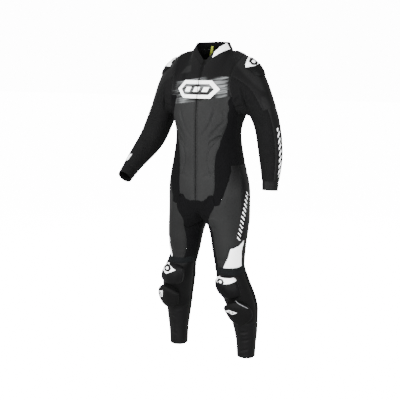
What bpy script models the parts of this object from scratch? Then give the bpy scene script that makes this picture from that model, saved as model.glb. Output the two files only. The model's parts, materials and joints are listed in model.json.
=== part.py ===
"""One-piece motorcycle race suit for a woman, filled out with no wearer.

Metres, +Z up. The wearer faces -Y and the wearer's left is +X. The origin is the point on the neck's
axis at shoulder height, where a wearer or a hanger holds the suit up.

One skin is laid out as a grid of points: rows run down the body, columns run from the centre front
round the side to the centre back. Each panel is a block of the grid's cells, given a wall, so every
seam follows a line of the grid and the named seam columns below place it.
"""

import math

import bpy
from mathutils import Vector

# ---------------------------------------------------------------- cloth and seams
WALL = 0.002            # leather or stretch fabric with its lining
SEAM_GAP = 0.0003       # between neighbouring panels
LIFT = 0.0010           # from a panel to the armour fixed on it
SHOULDER_LIFT = 0.0022  # the same over the rounder shoulder
SHARPEST_CORNER = 0.35  # a panel's corner draws back no further than this share allows

# ---------------------------------------------------------------- the grid
NECK_ROW, UNDERARM_ROW, HIP_ROW, CROTCH_ROW = 0, 7, 16, 20
FRONT_COLS = 9          # columns from the centre front to the side
LAST_COL = 18           # centre back, and the inseam again on a leg
NECK_COL = 4            # where the shoulder seam meets the neckline
ARMHOLE_FRONT, ARMHOLE_BACK = 8, 10
ZIP_LAST_ROW = HIP_ROW
ZIP_HALF_WIDTH = 0.006
SLEEVE_COLS = 16        # 0 faces the body, 4 the front, 8 outwards, 12 the back
ARM_RING_ROW = 5        # first sleeve ring square to the arm

# ---------------------------------------------------------------- body of the suit
BODY_SQUARENESS = 2.25
ZIP_EDGE_SHARE = 0.55   # the squarer front meets the zip's edge at this share of a circle's angle
# Angles of the seam columns are in degrees from the centre front.
#           z      half_width  front   back   col_3  col_5  col_7  col_8
BODY_ROWS = (
    (-0.235,   0.158,   0.118,  0.121,   34,    55,    66,    73),
    (-0.275,   0.143,   0.119,  0.115,   36,    54,    70,    79),
    (-0.315,   0.138,   0.120,  0.110,   42,    47,    72,    81),
    (-0.355,   0.142,   0.121,  0.109,   25,    37,    73,    82),
    (-0.395,   0.149,   0.122,  0.111,   18,    31,    72,    81),
    (-0.435,   0.157,   0.122,  0.116,   17,    28,    68,    80),
    (-0.475,   0.167,   0.122,  0.121,   22,    26,    60,    78),
    (-0.515,   0.176,   0.122,  0.125,   20,    25,    51,    76),
    (-0.555,   0.181,   0.122,  0.127,   16,    23,    44,    74),
    (-0.595,   0.182,   0.121,  0.127,   12,    21,    39,    73),
)
UNDERARM_LIFT = 0.018   # the armhole's lowest point above its row
CROTCH = (0.008, 0.008, -0.682)     # half the gusset's width, and where it passes under
# Share of the way from the hip row to the crotch row.
RISE_SHARES = (0.30, 0.56, 0.79)

# How often points are evened out over the chest and back, and where the legs begin, and how far each time.
CHEST_PASSES, THIGH_PASSES, PASS_SHARE = 5, 3, 0.5

# Centre front and centre back lines above the underarm, from the neckline down.
#               y       z
CENTRE_FRONT = ((-0.056, -0.032), (-0.072, -0.054), (-0.085, -0.080), (-0.096, -0.109),
                (-0.105, -0.141), (-0.111, -0.173), (-0.115, -0.204), (-0.118, -0.235))
CENTRE_BACK = ((0.098, 0.033), (0.108, 0.006), (0.117, -0.028), (0.124, -0.068),
               (0.128, -0.110), (0.128, -0.152), (0.125, -0.194), (0.121, -0.235))

# Neckline: half of an oval, rising from the front to the back.
NECK_HALF_WIDTH, NECK_CENTRE_Y, NECK_FRONT, NECK_BACK = 0.085, 0.038, 0.094, 0.060
NECK_SIDE_Z = 0.033
NECK_SEAM_ANGLE = 98    # where the shoulder seam meets the neckline, in degrees from the centre front
NECK_RISE_POWER = 0.95  # the neckline rises from the front to the side, nearly evenly

# Armhole edges from the underarm up, between the underarm row and the shoulder tip.
SHOULDER_TIP = (0.152, 0.028, 0.012)
SHOULDER_CURVE = 0.006  # the shoulder seam's rise above a straight line
#                 x       y       z
ARMHOLE_FRONT_EDGE = ((0.155, -0.036, -0.226), (0.144, -0.066, -0.193), (0.136, -0.080, -0.155),
                      (0.133, -0.080, -0.114), (0.134, -0.066, -0.073), (0.139, -0.042, -0.036),
                      (0.146, -0.009, -0.004))
ARMHOLE_BACK_EDGE = ((0.155, 0.047, -0.226), (0.146, 0.080, -0.193), (0.140, 0.098, -0.155),
                     (0.139, 0.103, -0.112), (0.141, 0.095, -0.069), (0.145, 0.078, -0.030),
                     (0.149, 0.055, 0.000))

# ---------------------------------------------------------------- legs
LEG_SQUARENESS = 2.1
LEG_BACK_ANGLE = 200    # of column 10, where the side gives way to the back
# Angles are in degrees from the inseam, through the front (90) to the outside (180).
#           z      x      y     half_width front  back   col_3  col_6  col_8
LEG_ROWS = (
    (-0.692, 0.098, -0.002, 0.082, 0.104, 0.109,  66,   132,  160),
    (-0.730, 0.104, -0.009, 0.073, 0.093, 0.097,  64,   142,  162),
    (-0.765, 0.105, -0.016, 0.070, 0.084, 0.087,  63,   124,  164),
    (-0.803, 0.107, -0.017, 0.066, 0.075, 0.078,  65,   110,  155),
    (-0.843, 0.110, -0.018, 0.061, 0.069, 0.071,  68,    84,  148),
    (-0.870, 0.118, -0.021, 0.062, 0.071, 0.070,  57,   114,  158),
    (-0.895, 0.126, -0.022, 0.065, 0.076, 0.071,  52,   117,  160),
    (-0.920, 0.132, -0.018, 0.067, 0.080, 0.072,  50,   118,  160),
    (-0.945, 0.138, -0.012, 0.069, 0.081, 0.073,  50,   118,  160),
    (-0.970, 0.145, -0.005, 0.069, 0.079, 0.073,  50,   118,  160),
    (-0.995, 0.151,  0.002, 0.068, 0.076, 0.073,  50,   118,  160),
    (-1.020, 0.156,  0.009, 0.066, 0.071, 0.072,  50,   118,  160),
    (-1.045, 0.160,  0.015, 0.063, 0.065, 0.070,  50,   118,  160),
    (-1.070, 0.161,  0.020, 0.060, 0.060, 0.066,  50,   118,  160),
    (-1.095, 0.163,  0.024, 0.057, 0.056, 0.062,  52,   120,  160),
    (-1.133, 0.166,  0.028, 0.052, 0.052, 0.056,  56,   124,  161),
    (-1.172, 0.168,  0.030, 0.048, 0.047, 0.051,  60,   128,  162),
    (-1.211, 0.169,  0.031, 0.043, 0.043, 0.046,  60,   130,  162),
    (-1.250, 0.169,  0.031, 0.041, 0.041, 0.043,  60,   130,  162),
    (-1.285, 0.169,  0.031, 0.039, 0.039, 0.041,  60,   130,  162),
)

# The wearer stands with the left knee lower: how far it is down, and the share of that by leg row.
LEFT_KNEE_DROP = 0.022
KNEE_DROP_SHARES = {0: 0, 4: 1, 14: 1, 18: 0, 19: 0}

# ---------------------------------------------------------------- sleeves
ARM_SQUARENESS = 2.05
# How far the rows over the shoulder have gone from the armhole to the first square ring.
#                 outwards  fore_aft  down
SHOULDER_SHARES = ((0.21, 0.16, 0.11), (0.43, 0.36, 0.22), (0.64, 0.58, 0.41), (0.82, 0.80, 0.68))
# Rings square to the arm, x outwards on either side. The left arm hangs, the right one bends forward.
#               x      y      z      across  fore_aft
LEFT_ARM_ROWS = (
    (0.235,  0.026, -0.222, 0.055, 0.062),
    (0.253,  0.022, -0.268, 0.052, 0.058),
    (0.265,  0.014, -0.310, 0.051, 0.056),
    (0.275,  0.004, -0.350, 0.050, 0.054),
    (0.283, -0.006, -0.388, 0.048, 0.051),
    (0.289, -0.016, -0.424, 0.044, 0.047),
    (0.293, -0.026, -0.459, 0.039, 0.042),
    (0.296, -0.035, -0.493, 0.034, 0.037),
    (0.298, -0.043, -0.525, 0.031, 0.034),
)
RIGHT_ARM_ROWS = (
    (0.233,  0.026, -0.222, 0.056, 0.063),
    (0.251,  0.022, -0.268, 0.056, 0.062),
    (0.267,  0.014, -0.311, 0.055, 0.061),
    (0.283,  0.000, -0.352, 0.053, 0.058),
    (0.298, -0.028, -0.388, 0.048, 0.052),
    (0.308, -0.062, -0.419, 0.042, 0.046),
    (0.314, -0.098, -0.448, 0.037, 0.040),
    (0.317, -0.132, -0.475, 0.033, 0.035),
    (0.319, -0.164, -0.500, 0.030, 0.032),
)

# ---------------------------------------------------------------- collar
COLLAR_ROWS = 3
# By the angle round the neck: height along the slope, and lean inward for each unit of height.
COLLAR_HEIGHTS = {0: 0.024, 90: 0.031, 180: 0.035}
COLLAR_LEANS = {0: 1.1, 90: 0.5, 180: 0.5}

# ---------------------------------------------------------------- fixed armour
#            rim height, crown height
SHOULDER_CUP_HEIGHTS = (0.003, 0.009)
KNEE_CUP_HEIGHTS = (0.005, 0.019)
KNEE_SLIDER_HEIGHTS = (0.019, 0.030)
#               first_col last_col first_row last_row end_share
SHOULDER_CUP_AT = (6.5, 9.5, 0.55, 2.9, 0.60)
KNEE_CUP_AT = (2.6, 6.8, 25.1, 29.1, 0.75)
KNEE_SLIDER_AT = (3.4, 7.3, 29.3, 33.9, 0.50)
ARMOUR_CELLS_DOWN = 8
ARMOUR_EDGE_SHARE = 0.55    # of the rise to the crown, how much is there just inside the rim

# ---------------------------------------------------------------- ribs of the stretch above the knee
KNEE_STRETCH = {"row": 24, "last_col": 10, "ribs": 4, "height": 0.0022}

# ---------------------------------------------------------------- hanger loop inside the collar
HANGER_LOOP = {"x": -0.028, "half_width": 0.005, "drop": 0.034, "tilt": -0.22, "wall": 0.0016,
               "stand_off": 0.0057}

# ---------------------------------------------------------------- leather and cloth
MATERIALS = {
    #                    red    green  blue   roughness
    "leather_black": (0.016, 0.016, 0.017, 0.50),
    "leather_charcoal": (0.058, 0.058, 0.058, 0.55),
    "leather_white": (0.80, 0.80, 0.80, 0.45),
    "stretch_black": (0.010, 0.011, 0.013, 0.85),
    "stretch_ribbed": (0.024, 0.028, 0.031, 0.80),
    "cup_black": (0.020, 0.020, 0.021, 0.30),
    "slider_black": (0.024, 0.024, 0.024, 0.45),
    "zip_black": (0.008, 0.008, 0.008, 0.60),
    "loop_yellow": (0.62, 0.66, 0.16, 0.80),
}

# A panel is one or more blocks of cells. Panels ending in _ are made on each side, with L or R.
#   panel             material           first_row last_row first_col last_col
BODY_PANELS = (
    ("chest_", "leather_black", 0, 5, 0, 8),
    ("front_", "leather_charcoal", 5, 9, 0, 5),
    ("front_", "leather_charcoal", 9, 13, 0, 3),
    ("front_", "leather_charcoal", 13, 15, 0, 5),
    ("front_", "leather_charcoal", 15, 16, 0, 2),
    ("front_leaf_", "leather_charcoal", 9, 13, 3, 5),
    ("flank_", "stretch_black", 5, 7, 5, 8),
    ("flank_", "stretch_black", 6, 7, 10, 12),
    ("flank_", "stretch_black", 7, 12, 5, 12),
    ("flank_", "stretch_black", 12, 15, 5, 7),
    ("flank_", "stretch_black", 15, 16, 5, 6),
    ("back", "leather_black", 0, 6, 10, 18),
    ("back", "leather_black", 6, 11, 12, 18),
    ("lumbar", "stretch_black", 11, 12, 12, 18),
    ("lumbar", "stretch_black", 12, 13, 10, 18),
    ("seat_", "leather_black", 13, 20, 10, 18),
    ("groin", "stretch_black", 15, 16, 3, 5),
    ("groin", "stretch_black", 16, 17, 0, 4),
    ("groin", "stretch_black", 17, 20, 0, 3),
    ("inner_thigh_", "stretch_black", 20, 24, 0, 3),
    ("thigh_", "leather_charcoal", 12, 16, 7, 8),
    ("thigh_", "leather_charcoal", 16, 17, 5, 8),
    ("thigh_", "leather_charcoal", 17, 18, 4, 8),
    ("thigh_", "leather_charcoal", 18, 22, 3, 8),
    ("thigh_", "leather_charcoal", 22, 24, 3, 6),
    ("side_stripe_", "leather_black", 12, 21, 8, 10),
    ("side_stripe_", "leather_black", 21, 24, 9, 10),
    ("knee_side_", "leather_white", 22, 24, 6, 9),
    ("hamstring_", "leather_black", 20, 24, 10, 18),
    ("knee_back_", "stretch_black", 24, 25, 10, 18),
    ("knee_back_", "stretch_black", 25, 34, 9, 18),
    ("knee_front_", "leather_black", 25, 34, 0, 9),
    ("shin_", "leather_black", 34, 39, 0, 9),
    ("calf_", "leather_black", 34, 39, 9, 18),
)
SLEEVE_PANELS = (
    ("shoulder_", "leather_black", 0, 5, 5, 11),
    ("sleeve_inner_", "stretch_black", 0, 5, 11, 21),
    ("sleeve_inner_", "stretch_black", 5, 12, 12, 22),
    ("sleeve_outer_", "leather_black", 5, 12, 6, 12),
    ("cuff_", "leather_black", 12, 13, 0, 16),
)

#   panel          material         side first_col last_col
COLLAR_PANELS = (
    ("collar_L", "leather_white", "L", 0, 4),
    ("collar_L", "leather_white", "L", 14, 16),
    ("collar_R", "leather_black", "R", 0, 4),
    ("collar_R", "leather_black", "R", 14, 16),
    ("collar_back", "leather_black", "L", 16, 18),
    ("collar_back", "leather_black", "R", 16, 18),
)
# Body cells split corner to corner, from the top outer corner to the lower inner one.
#   row col   inner    outer
SPLIT_CELLS = (
    (15, 2, "front_", "groin"),
    (15, 6, "flank_", "thigh_"),
    (16, 4, "groin", "thigh_"),
    (17, 3, "groin", "thigh_"),
    (21, 8, "thigh_", "knee_side_"),
)

LEFT, RIGHT, CENTRE = "L", "R", "C"


def superellipse(angle, half_width, depth, squareness):
    """Offsets across and along for an angle in degrees: 0 lies along, 90 lies across."""
    power = 2 / squareness
    across, along = math.sin(math.radians(angle)), math.cos(math.radians(angle))
    return (half_width * abs(across) ** power * math.copysign(1, across),
            depth * abs(along) ** power * math.copysign(1, along))


def spread(keys, count):
    """Values at 0..count, evenly spaced between the keyed ones."""
    values, known = [], sorted(keys)
    for i in range(count + 1):
        low = max(k for k in known if k <= i)
        high = min(k for k in known if k >= i)
        share = (i - low) / (high - low) if high > low else 0
        values.append(keys[low] + (keys[high] - keys[low]) * share)
    return values


def mixed(a, b, shares):
    return Vector(p + (q - p) * s for p, q, s in zip(a, b, shares))


def body_key(side, row, col):
    """The one name of a grid point, whichever panel asks for it."""
    if row == NECK_ROW and ARMHOLE_BACK <= col <= LAST_COL - NECK_COL:
        return side, row, LAST_COL - col
    if row >= CROTCH_ROW:
        return side, row, col % LAST_COL
    if col == LAST_COL and row <= HIP_ROW:
        return CENTRE, row, col
    return side, row, col


def armhole_cell(i):
    """Row and column on the body of the sleeve's point i at the armhole."""
    i %= SLEEVE_COLS
    if i == 0:
        return UNDERARM_ROW, FRONT_COLS
    if i <= SLEEVE_COLS // 2:
        return UNDERARM_ROW + 1 - i, ARMHOLE_FRONT
    return i - SLEEVE_COLS // 2, ARMHOLE_BACK


def sleeve_key(side, row, i):
    if row == 0:
        return body_key(side, *armhole_cell(i))
    return "sleeve" + side, row, i % SLEEVE_COLS


def collar_key(side, row, col):
    if row == 0:
        return body_key(side, NECK_ROW, col)
    if col == LAST_COL - NECK_COL:
        col = NECK_COL
    return "collar" + (CENTRE if col == LAST_COL else side), row, col


def ring_point(row, angle):
    z, half_width, front, back = row[:4]
    x, along = superellipse(angle, half_width, front if angle < 90 else back, BODY_SQUARENESS)
    return Vector((x, -along, z))


def neck_angles():
    """Angle round the neck of each neckline column, from the centre front."""
    start = math.degrees(ZIP_HALF_WIDTH / NECK_HALF_WIDTH)
    angles = spread({0: start, NECK_COL: NECK_SEAM_ANGLE}, NECK_COL)
    back = spread({0: NECK_SEAM_ANGLE, NECK_COL: 180}, NECK_COL)
    return dict(list(enumerate(angles)) + [(LAST_COL - NECK_COL + i, a) for i, a in enumerate(back)])


def neck_point(angle):
    depth = NECK_FRONT if angle < 90 else NECK_BACK
    x, along = superellipse(angle, NECK_HALF_WIDTH, depth, 2)
    low_z = CENTRE_FRONT[0][1] if angle < 90 else CENTRE_BACK[0][1]
    to_side = math.sin(math.radians(angle)) ** (NECK_RISE_POWER if angle < 90 else 1)
    return Vector((x, NECK_CENTRE_Y - along, low_z + (NECK_SIDE_Z - low_z) * to_side))


def chest_patch(points, centre_line, edge, cols, centre_x):
    """Rows above the underarm: blended between the centre line, armhole, neckline and underarm row."""
    last = UNDERARM_ROW
    top = [points[(LEFT, NECK_ROW, c)] for c in cols]
    bottom = [points[(LEFT, last, c)] for c in cols]
    for row in range(1, last):
        v = row / last
        inner = Vector((centre_x, *centre_line[row]))
        outer = Vector(edge[last - row])
        for j, col in enumerate(cols):
            u = j / (len(cols) - 1)
            across = inner.lerp(outer, u)
            down = top[j].lerp(bottom[j], v)
            corners = top[0].lerp(top[-1], u).lerp(bottom[0].lerp(bottom[-1], u), v)
            points[(LEFT, row, col)] = across + down - corners


def relax(points, rows, cols, passes, along_row):
    """Evens out grid points between their neighbours."""
    for _ in range(passes):
        moved = {}
        for row in rows:
            for col in cols:
                near = [points[(LEFT, row - 1, col)], points[(LEFT, row + 1, col)]]
                if along_row:
                    near += [points[(LEFT, row, col - 1)], points[(LEFT, row, col + 1)]]
                middle = sum(near, Vector()) / len(near)
                moved[(LEFT, row, col)] = points[(LEFT, row, col)].lerp(middle, PASS_SHARE)
        points.update(moved)


def body_points():
    """Grid points of the wearer's left half, keyed without merging."""
    points = {}
    for n, row in enumerate(BODY_ROWS):
        start = math.degrees(ZIP_HALF_WIDTH / row[1]) * ZIP_EDGE_SHARE
        angles = spread({0: start, 3: row[4], 5: row[5], 7: row[6], 8: row[7], FRONT_COLS: 90,
                         ARMHOLE_BACK: 180 - row[7], LAST_COL: 180}, LAST_COL)
        for col, angle in enumerate(angles):
            points[(LEFT, UNDERARM_ROW + n, col)] = ring_point(row, angle)
        points[(LEFT, UNDERARM_ROW + n, 0)].x = ZIP_HALF_WIDTH
    points[(LEFT, UNDERARM_ROW, FRONT_COLS)].z += UNDERARM_LIFT
    points[(LEFT, UNDERARM_ROW, ARMHOLE_FRONT)] = Vector(ARMHOLE_FRONT_EDGE[0])
    points[(LEFT, UNDERARM_ROW, ARMHOLE_BACK)] = Vector(ARMHOLE_BACK_EDGE[0])

    tip = Vector(SHOULDER_TIP)
    for col, angle in neck_angles().items():
        points[(LEFT, NECK_ROW, col)] = neck_point(angle)
    points[(LEFT, NECK_ROW, 0)].x = ZIP_HALF_WIDTH
    neck_side = points[(LEFT, NECK_ROW, NECK_COL)]
    for i in range(NECK_COL + 1):
        seam = neck_side.lerp(tip, i / NECK_COL)
        seam.z += SHOULDER_CURVE * math.sin(math.pi * i / NECK_COL)
        points[(LEFT, NECK_ROW, NECK_COL + i)] = seam
        points[(LEFT, NECK_ROW, LAST_COL - NECK_COL - i)] = seam.copy()
    chest_patch(points, CENTRE_FRONT, ARMHOLE_FRONT_EDGE, range(ARMHOLE_FRONT + 1), ZIP_HALF_WIDTH)
    chest_patch(points, CENTRE_BACK, ARMHOLE_BACK_EDGE, range(LAST_COL, ARMHOLE_BACK - 1, -1), 0)
    for cols in (range(1, ARMHOLE_FRONT), range(ARMHOLE_BACK + 1, LAST_COL)):
        relax(points, range(1, UNDERARM_ROW), cols, CHEST_PASSES, True)

    for n, row in enumerate(LEG_ROWS):
        z, x, y, half_width, front, back = row[:6]
        angles = spread({0: 0, 3: row[6], 6: row[7], 8: row[8], FRONT_COLS: 180,
                         ARMHOLE_BACK: LEG_BACK_ANGLE, LAST_COL: 360}, LAST_COL)
        for col, angle in enumerate(angles):
            along, across = superellipse(angle, front if angle < 180 else back, half_width, LEG_SQUARENESS)
            points[(LEFT, CROTCH_ROW + n, col)] = Vector((x - across, y - along, z))
        if n == 0:
            points[(LEFT, CROTCH_ROW, 0)] = points[(LEFT, CROTCH_ROW, LAST_COL)] = Vector(CROTCH)

    for n, share in enumerate(RISE_SHARES):
        turn = share * math.pi / 2
        shares = (share, 1 - math.cos(turn), math.sin(turn))
        for col in range(LAST_COL + 1):
            hip, leg = points[(LEFT, HIP_ROW, col)], points[(LEFT, CROTCH_ROW, col)]
            points[(LEFT, HIP_ROW + 1 + n, col)] = mixed(hip, leg, shares)
    relax(points, range(HIP_ROW, CROTCH_ROW + 2), range(2, LAST_COL - 1), THIGH_PASSES, False)
    return points


def arm_ring(rows, n):
    """Points of a ring square to the arm, on the wearer's left."""
    centre = Vector(rows[n][:3])
    ahead = Vector(rows[min(n + 1, len(rows) - 1)][:3])
    behind = Vector(rows[max(n - 1, 0)][:3])
    along = (ahead - behind).normalized()
    outward = (Vector((1, 0, 0)) - along * along.x).normalized()
    forward = outward.cross(along).normalized()
    if forward.y > 0:
        forward = -forward
    ring = []
    for i in range(SLEEVE_COLS):
        front, inward = superellipse(i * 360 / SLEEVE_COLS, rows[n][4], rows[n][3], ARM_SQUARENESS)
        ring.append(centre - outward * inward + forward * front)
    return ring


def mirrored(point):
    return Vector((-point.x, point.y, point.z))


def add_collar(points):
    """Rows of the stand collar above the neckline, on both sides."""
    angles = neck_angles()
    heights, leans = spread(COLLAR_HEIGHTS, 180), spread(COLLAR_LEANS, 180)
    for side in (LEFT, RIGHT):
        for col in angles:
            foot = points[body_key(side, NECK_ROW, col)]
            to_axis = Vector((-foot.x, NECK_CENTRE_Y - foot.y, 0)).normalized()
            rise = (Vector((0, 0, 1)) + to_axis * leans[round(angles[col])]).normalized()
            for row in range(1, COLLAR_ROWS + 1):
                height = heights[round(angles[col])] * row / COLLAR_ROWS
                point = foot + rise * height
                if col == 0:
                    point.x = foot.x    # the zip keeps its width up the collar
                points[collar_key(side, row, col)] = point


def skin():
    """All grid points of the suit by key."""
    left = body_points()
    points = {}
    for (_, row, col), point in left.items():
        points[body_key(LEFT, row, col)] = point
        key = body_key(RIGHT, row, col)
        if key[0] == RIGHT:
            points[key] = mirrored(point)
    for n, share in enumerate(spread(KNEE_DROP_SHARES, len(LEG_ROWS) - 1)):
        for col in range(LAST_COL):
            points[(LEFT, CROTCH_ROW + n, col)].z -= LEFT_KNEE_DROP * share
    for side, rows in ((LEFT, LEFT_ARM_ROWS), (RIGHT, RIGHT_ARM_ROWS)):
        turn = mirrored if side == RIGHT else Vector
        rings = [[turn(p) for p in arm_ring(rows, n)] for n in range(len(rows))]
        for i in range(SLEEVE_COLS):
            start = points[body_key(side, *armhole_cell(i))]
            for n, shares in enumerate(SHOULDER_SHARES):
                points[sleeve_key(side, n + 1, i)] = mixed(start, rings[0][i], shares)
            for n, ring in enumerate(rings):
                points[sleeve_key(side, ARM_RING_ROW + n, i)] = ring[i]
    add_collar(points)
    return points


def block(side, keys, rows, cols):
    """Cells of a block, each a loop of keys that faces out. A cell that closes on itself is a triangle."""
    cells = []
    for row in range(*rows):
        for col in range(*cols):
            loop = [keys(side, row, col), keys(side, row + 1, col), keys(side, row + 1, col + 1),
                    keys(side, row, col + 1)]
            if side == RIGHT:
                loop.reverse()
            loop = [k for i, k in enumerate(loop) if k != loop[i - 1]]
            cells.append(loop)
    return cells


def collar_block(side, first_col, last_col):
    cells = block(side, collar_key, (0, COLLAR_ROWS), (first_col, last_col))
    return [loop[::-1] for loop in cells]


def all_panels():
    """Panel name -> (material, cells)."""
    panels = {}

    def add(name, material, cells):
        panels.setdefault(name, (material, []))[1].extend(cells)

    for table, keys in ((BODY_PANELS, body_key), (SLEEVE_PANELS, sleeve_key)):
        for name, material, row_0, row_1, col_0, col_1 in table:
            for side in (LEFT, RIGHT):
                full = name + side if name.endswith("_") else name
                add(full, material, block(side, keys, (row_0, row_1), (col_0, col_1)))
    for row, col, inner, outer in SPLIT_CELLS:
        for side in (LEFT, RIGHT):
            (top_in, low_in, low_out, top_out), = block(LEFT, body_key, (row, row + 1), (col, col + 1))
            for name, loop in ((inner, [top_in, low_in, top_out]), (outer, [low_in, low_out, top_out])):
                loop = [(side, *key[1:]) for key in loop][::-1 if side == RIGHT else 1]
                full = name + side if name.endswith("_") else name
                add(full, panels[full][0], [loop])
    for row in range(NECK_ROW, CROTCH_ROW):
        front = [(RIGHT, row, 0), (RIGHT, row + 1, 0), (LEFT, row + 1, 0), (LEFT, row, 0)]
        back = [body_key(side, r, LAST_COL)
                for side, r in ((LEFT, row), (LEFT, row + 1), (RIGHT, row + 1), (RIGHT, row))]
        if row < ZIP_LAST_ROW:
            add("zip", "zip_black", [front])
        else:
            add("groin", "stretch_black", [front, [k for i, k in enumerate(back) if k != back[i - 1]]])
    for row in range(COLLAR_ROWS):
        add("zip", "zip_black", [[collar_key(RIGHT, row, 0), collar_key(LEFT, row, 0),
                                  collar_key(LEFT, row + 1, 0), collar_key(RIGHT, row + 1, 0)]])
    for name, material, side, first_col, last_col in COLLAR_PANELS:
        add(name, material, collar_block(side, first_col, last_col))
    return panels


def cell_normal(points, loop):
    total = Vector()
    for i, key in enumerate(loop):
        total += points[loop[i - 1]].cross(points[key])
    return total


def outward_normals(points, panels):
    """One normal for each grid point, shared by the panels that meet there."""
    normals = {key: Vector() for key in points}
    row, last_col = KNEE_STRETCH["row"], KNEE_STRETCH["last_col"]
    stretches = [("", block(side, body_key, (row, row + 1), (0, last_col))) for side in (LEFT, RIGHT)]
    for _, cells in list(panels.values()) + stretches:
        for loop in cells:
            normal = cell_normal(points, loop)
            for key in loop:
                normals[key] += normal
    return {key: n.normalized() for key, n in normals.items() if n.length > 0}


def border_edges(cells):
    """Edges that only one cell has, in the order of the cells."""
    edges = dict.fromkeys((loop[i - 1], key) for loop in cells for i, key in enumerate(loop))
    return [(a, b) for a, b in edges if (b, a) not in edges]


def edge_insets(points, normals, cells, inset):
    """Where a panel's edge points move to leave the seam gap."""
    border = border_edges(cells)
    inward = {}
    for a, b in border:
        step = (points[b] - points[a]).normalized()
        for key in (a, b):
            inward.setdefault(key, []).append(normals[key].cross(step).normalized())
    moves = {}
    for key, ways in inward.items():
        total = sum(ways, Vector())
        share = max(1 + ways[0].dot(ways[-1]), SHARPEST_CORNER)
        moves[key] = total * (inset / share)
    return border, moves


def ribbed_stretch(points, normals, side):
    """Cells across the stretch above a knee, adding their points, and how far each rib's crest stands out."""
    size = KNEE_STRETCH
    steps = 2 * size["ribs"]
    crests = {}

    def key_at(_, step, col):
        row = size["row"] + (1 if step == steps else 0)
        return body_key(side, row, col) if step in (0, steps) else ("rib" + side, step, col)

    for step in range(1, steps):
        for col in range(size["last_col"] + 1):
            upper, lower = body_key(side, size["row"], col), body_key(side, size["row"] + 1, col)
            key = key_at(side, step, col)
            points[key] = points[upper].lerp(points[lower], step / steps)
            normals[key] = normals[upper].lerp(normals[lower], step / steps).normalized()
            if step % 2 and 0 < col < size["last_col"]:
                crests[key] = size["height"]
    return block(side, key_at, (0, steps), (0, size["last_col"])), crests


def link(name, material, verts, faces):
    mesh = bpy.data.meshes.new(name)
    mesh.from_pydata([tuple(v) for v in verts], [], faces)
    mesh.validate()
    mesh.update()
    mesh.materials.append(material)
    obj = bpy.data.objects.new(name, mesh)
    bpy.data.collections["Race suit"].objects.link(obj)
    return obj


def fanned(points, loop):
    """Triangles of a cell, split along its shorter diagonal."""
    if len(loop) == 3:
        return [tuple(loop)]
    a, b, c, d = loop
    if (points[a] - points[c]).length <= (points[b] - points[d]).length:
        return [(a, b, c), (a, c, d)]
    return [(b, c, d), (b, d, a)]


def walled(name, material, cells, outer, inner, border):
    """A closed solid between an outer and an inner point for each key."""
    keys = list(dict.fromkeys(key for loop in cells for key in loop))
    number = {key: i for i, key in enumerate(keys)}
    count = len(keys)
    faces = []
    for loop in cells:
        for a, b, c in fanned(outer, loop):
            faces.append((number[a], number[b], number[c]))
            faces.append((number[c] + count, number[b] + count, number[a] + count))
    for a, b in border:
        near, far, near_in, far_in = number[a], number[b], number[a] + count, number[b] + count
        if a < b:
            faces += [(far, near, far_in), (near, near_in, far_in)]
        else:
            faces += [(far, near, near_in), (far, near_in, far_in)]
    return link(name, material, [outer[k] for k in keys] + [inner[k] for k in keys], faces)


def sew_panel(name, material, cells, points, normals, crests=None):
    border, moves = edge_insets(points, normals, cells, SEAM_GAP / 2)
    outer, inner = {}, {}
    for loop in cells:
        for key in loop:
            outer[key] = points[key] + moves.get(key, Vector())
            inner[key] = outer[key] - normals[key] * WALL
    for key, height in (crests or {}).items():
        outer[key] = outer[key] + normals[key] * height
    return walled(name, material, cells, outer, inner, border)


def skin_sample(points, normals, keys, side, row, col):
    """Point and normal on the skin between grid points."""
    row_0, col_0 = math.floor(row), math.floor(col)
    u, v = col - col_0, row - row_0
    found = []
    for table in (points, normals):
        near = table[keys(side, row_0, col_0)].lerp(table[keys(side, row_0, col_0 + 1)], u)
        far = table[keys(side, row_0 + 1, col_0)].lerp(table[keys(side, row_0 + 1, col_0 + 1)], u)
        found.append(near.lerp(far, v))
    return found[0], found[1].normalized()


def armour(name, material, points, normals, keys, side, at, heights, lift=LIFT):
    """A domed plate on the skin, with a rounded outline: its short ends are end_share of its height."""
    col_0, col_1, row_0, row_1, end_share = at
    rim, crown = heights
    cols = [col_0] + [c / 2 for c in range(math.floor(col_0 * 2) + 1, math.ceil(col_1 * 2))] + [col_1]
    middle, half = (row_0 + row_1) / 2, (row_1 - row_0) / 2
    outer, inner, cells = {}, {}, []
    for j, col in enumerate(cols):
        across = 2 * (col - col_0) / (col_1 - col_0) - 1
        reach = end_share + (1 - end_share) * math.sqrt(max(0, 1 - across ** 2))
        for i in range(ARMOUR_CELLS_DOWN + 1):
            down = 2 * i / ARMOUR_CELLS_DOWN - 1
            point, normal = skin_sample(points, normals, keys, side, middle + half * reach * down, col)
            on_rim = i in (0, ARMOUR_CELLS_DOWN) or j in (0, len(cols) - 1)
            dome = (1 - across ** 2) * (1 - down ** 2)
            swell = 0 if on_rim else ARMOUR_EDGE_SHARE + (1 - ARMOUR_EDGE_SHARE) * dome
            inner[(i, j)] = point + normal * lift
            outer[(i, j)] = inner[(i, j)] + normal * (rim + (crown - rim) * swell)
    for i in range(ARMOUR_CELLS_DOWN):
        for j in range(len(cols) - 1):
            loop = [(i, j), (i + 1, j), (i + 1, j + 1), (i, j + 1)]
            cells.append(loop[::-1] if side == RIGHT else loop)
    return walled(name, material, cells, outer, inner, border_edges(cells))


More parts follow.
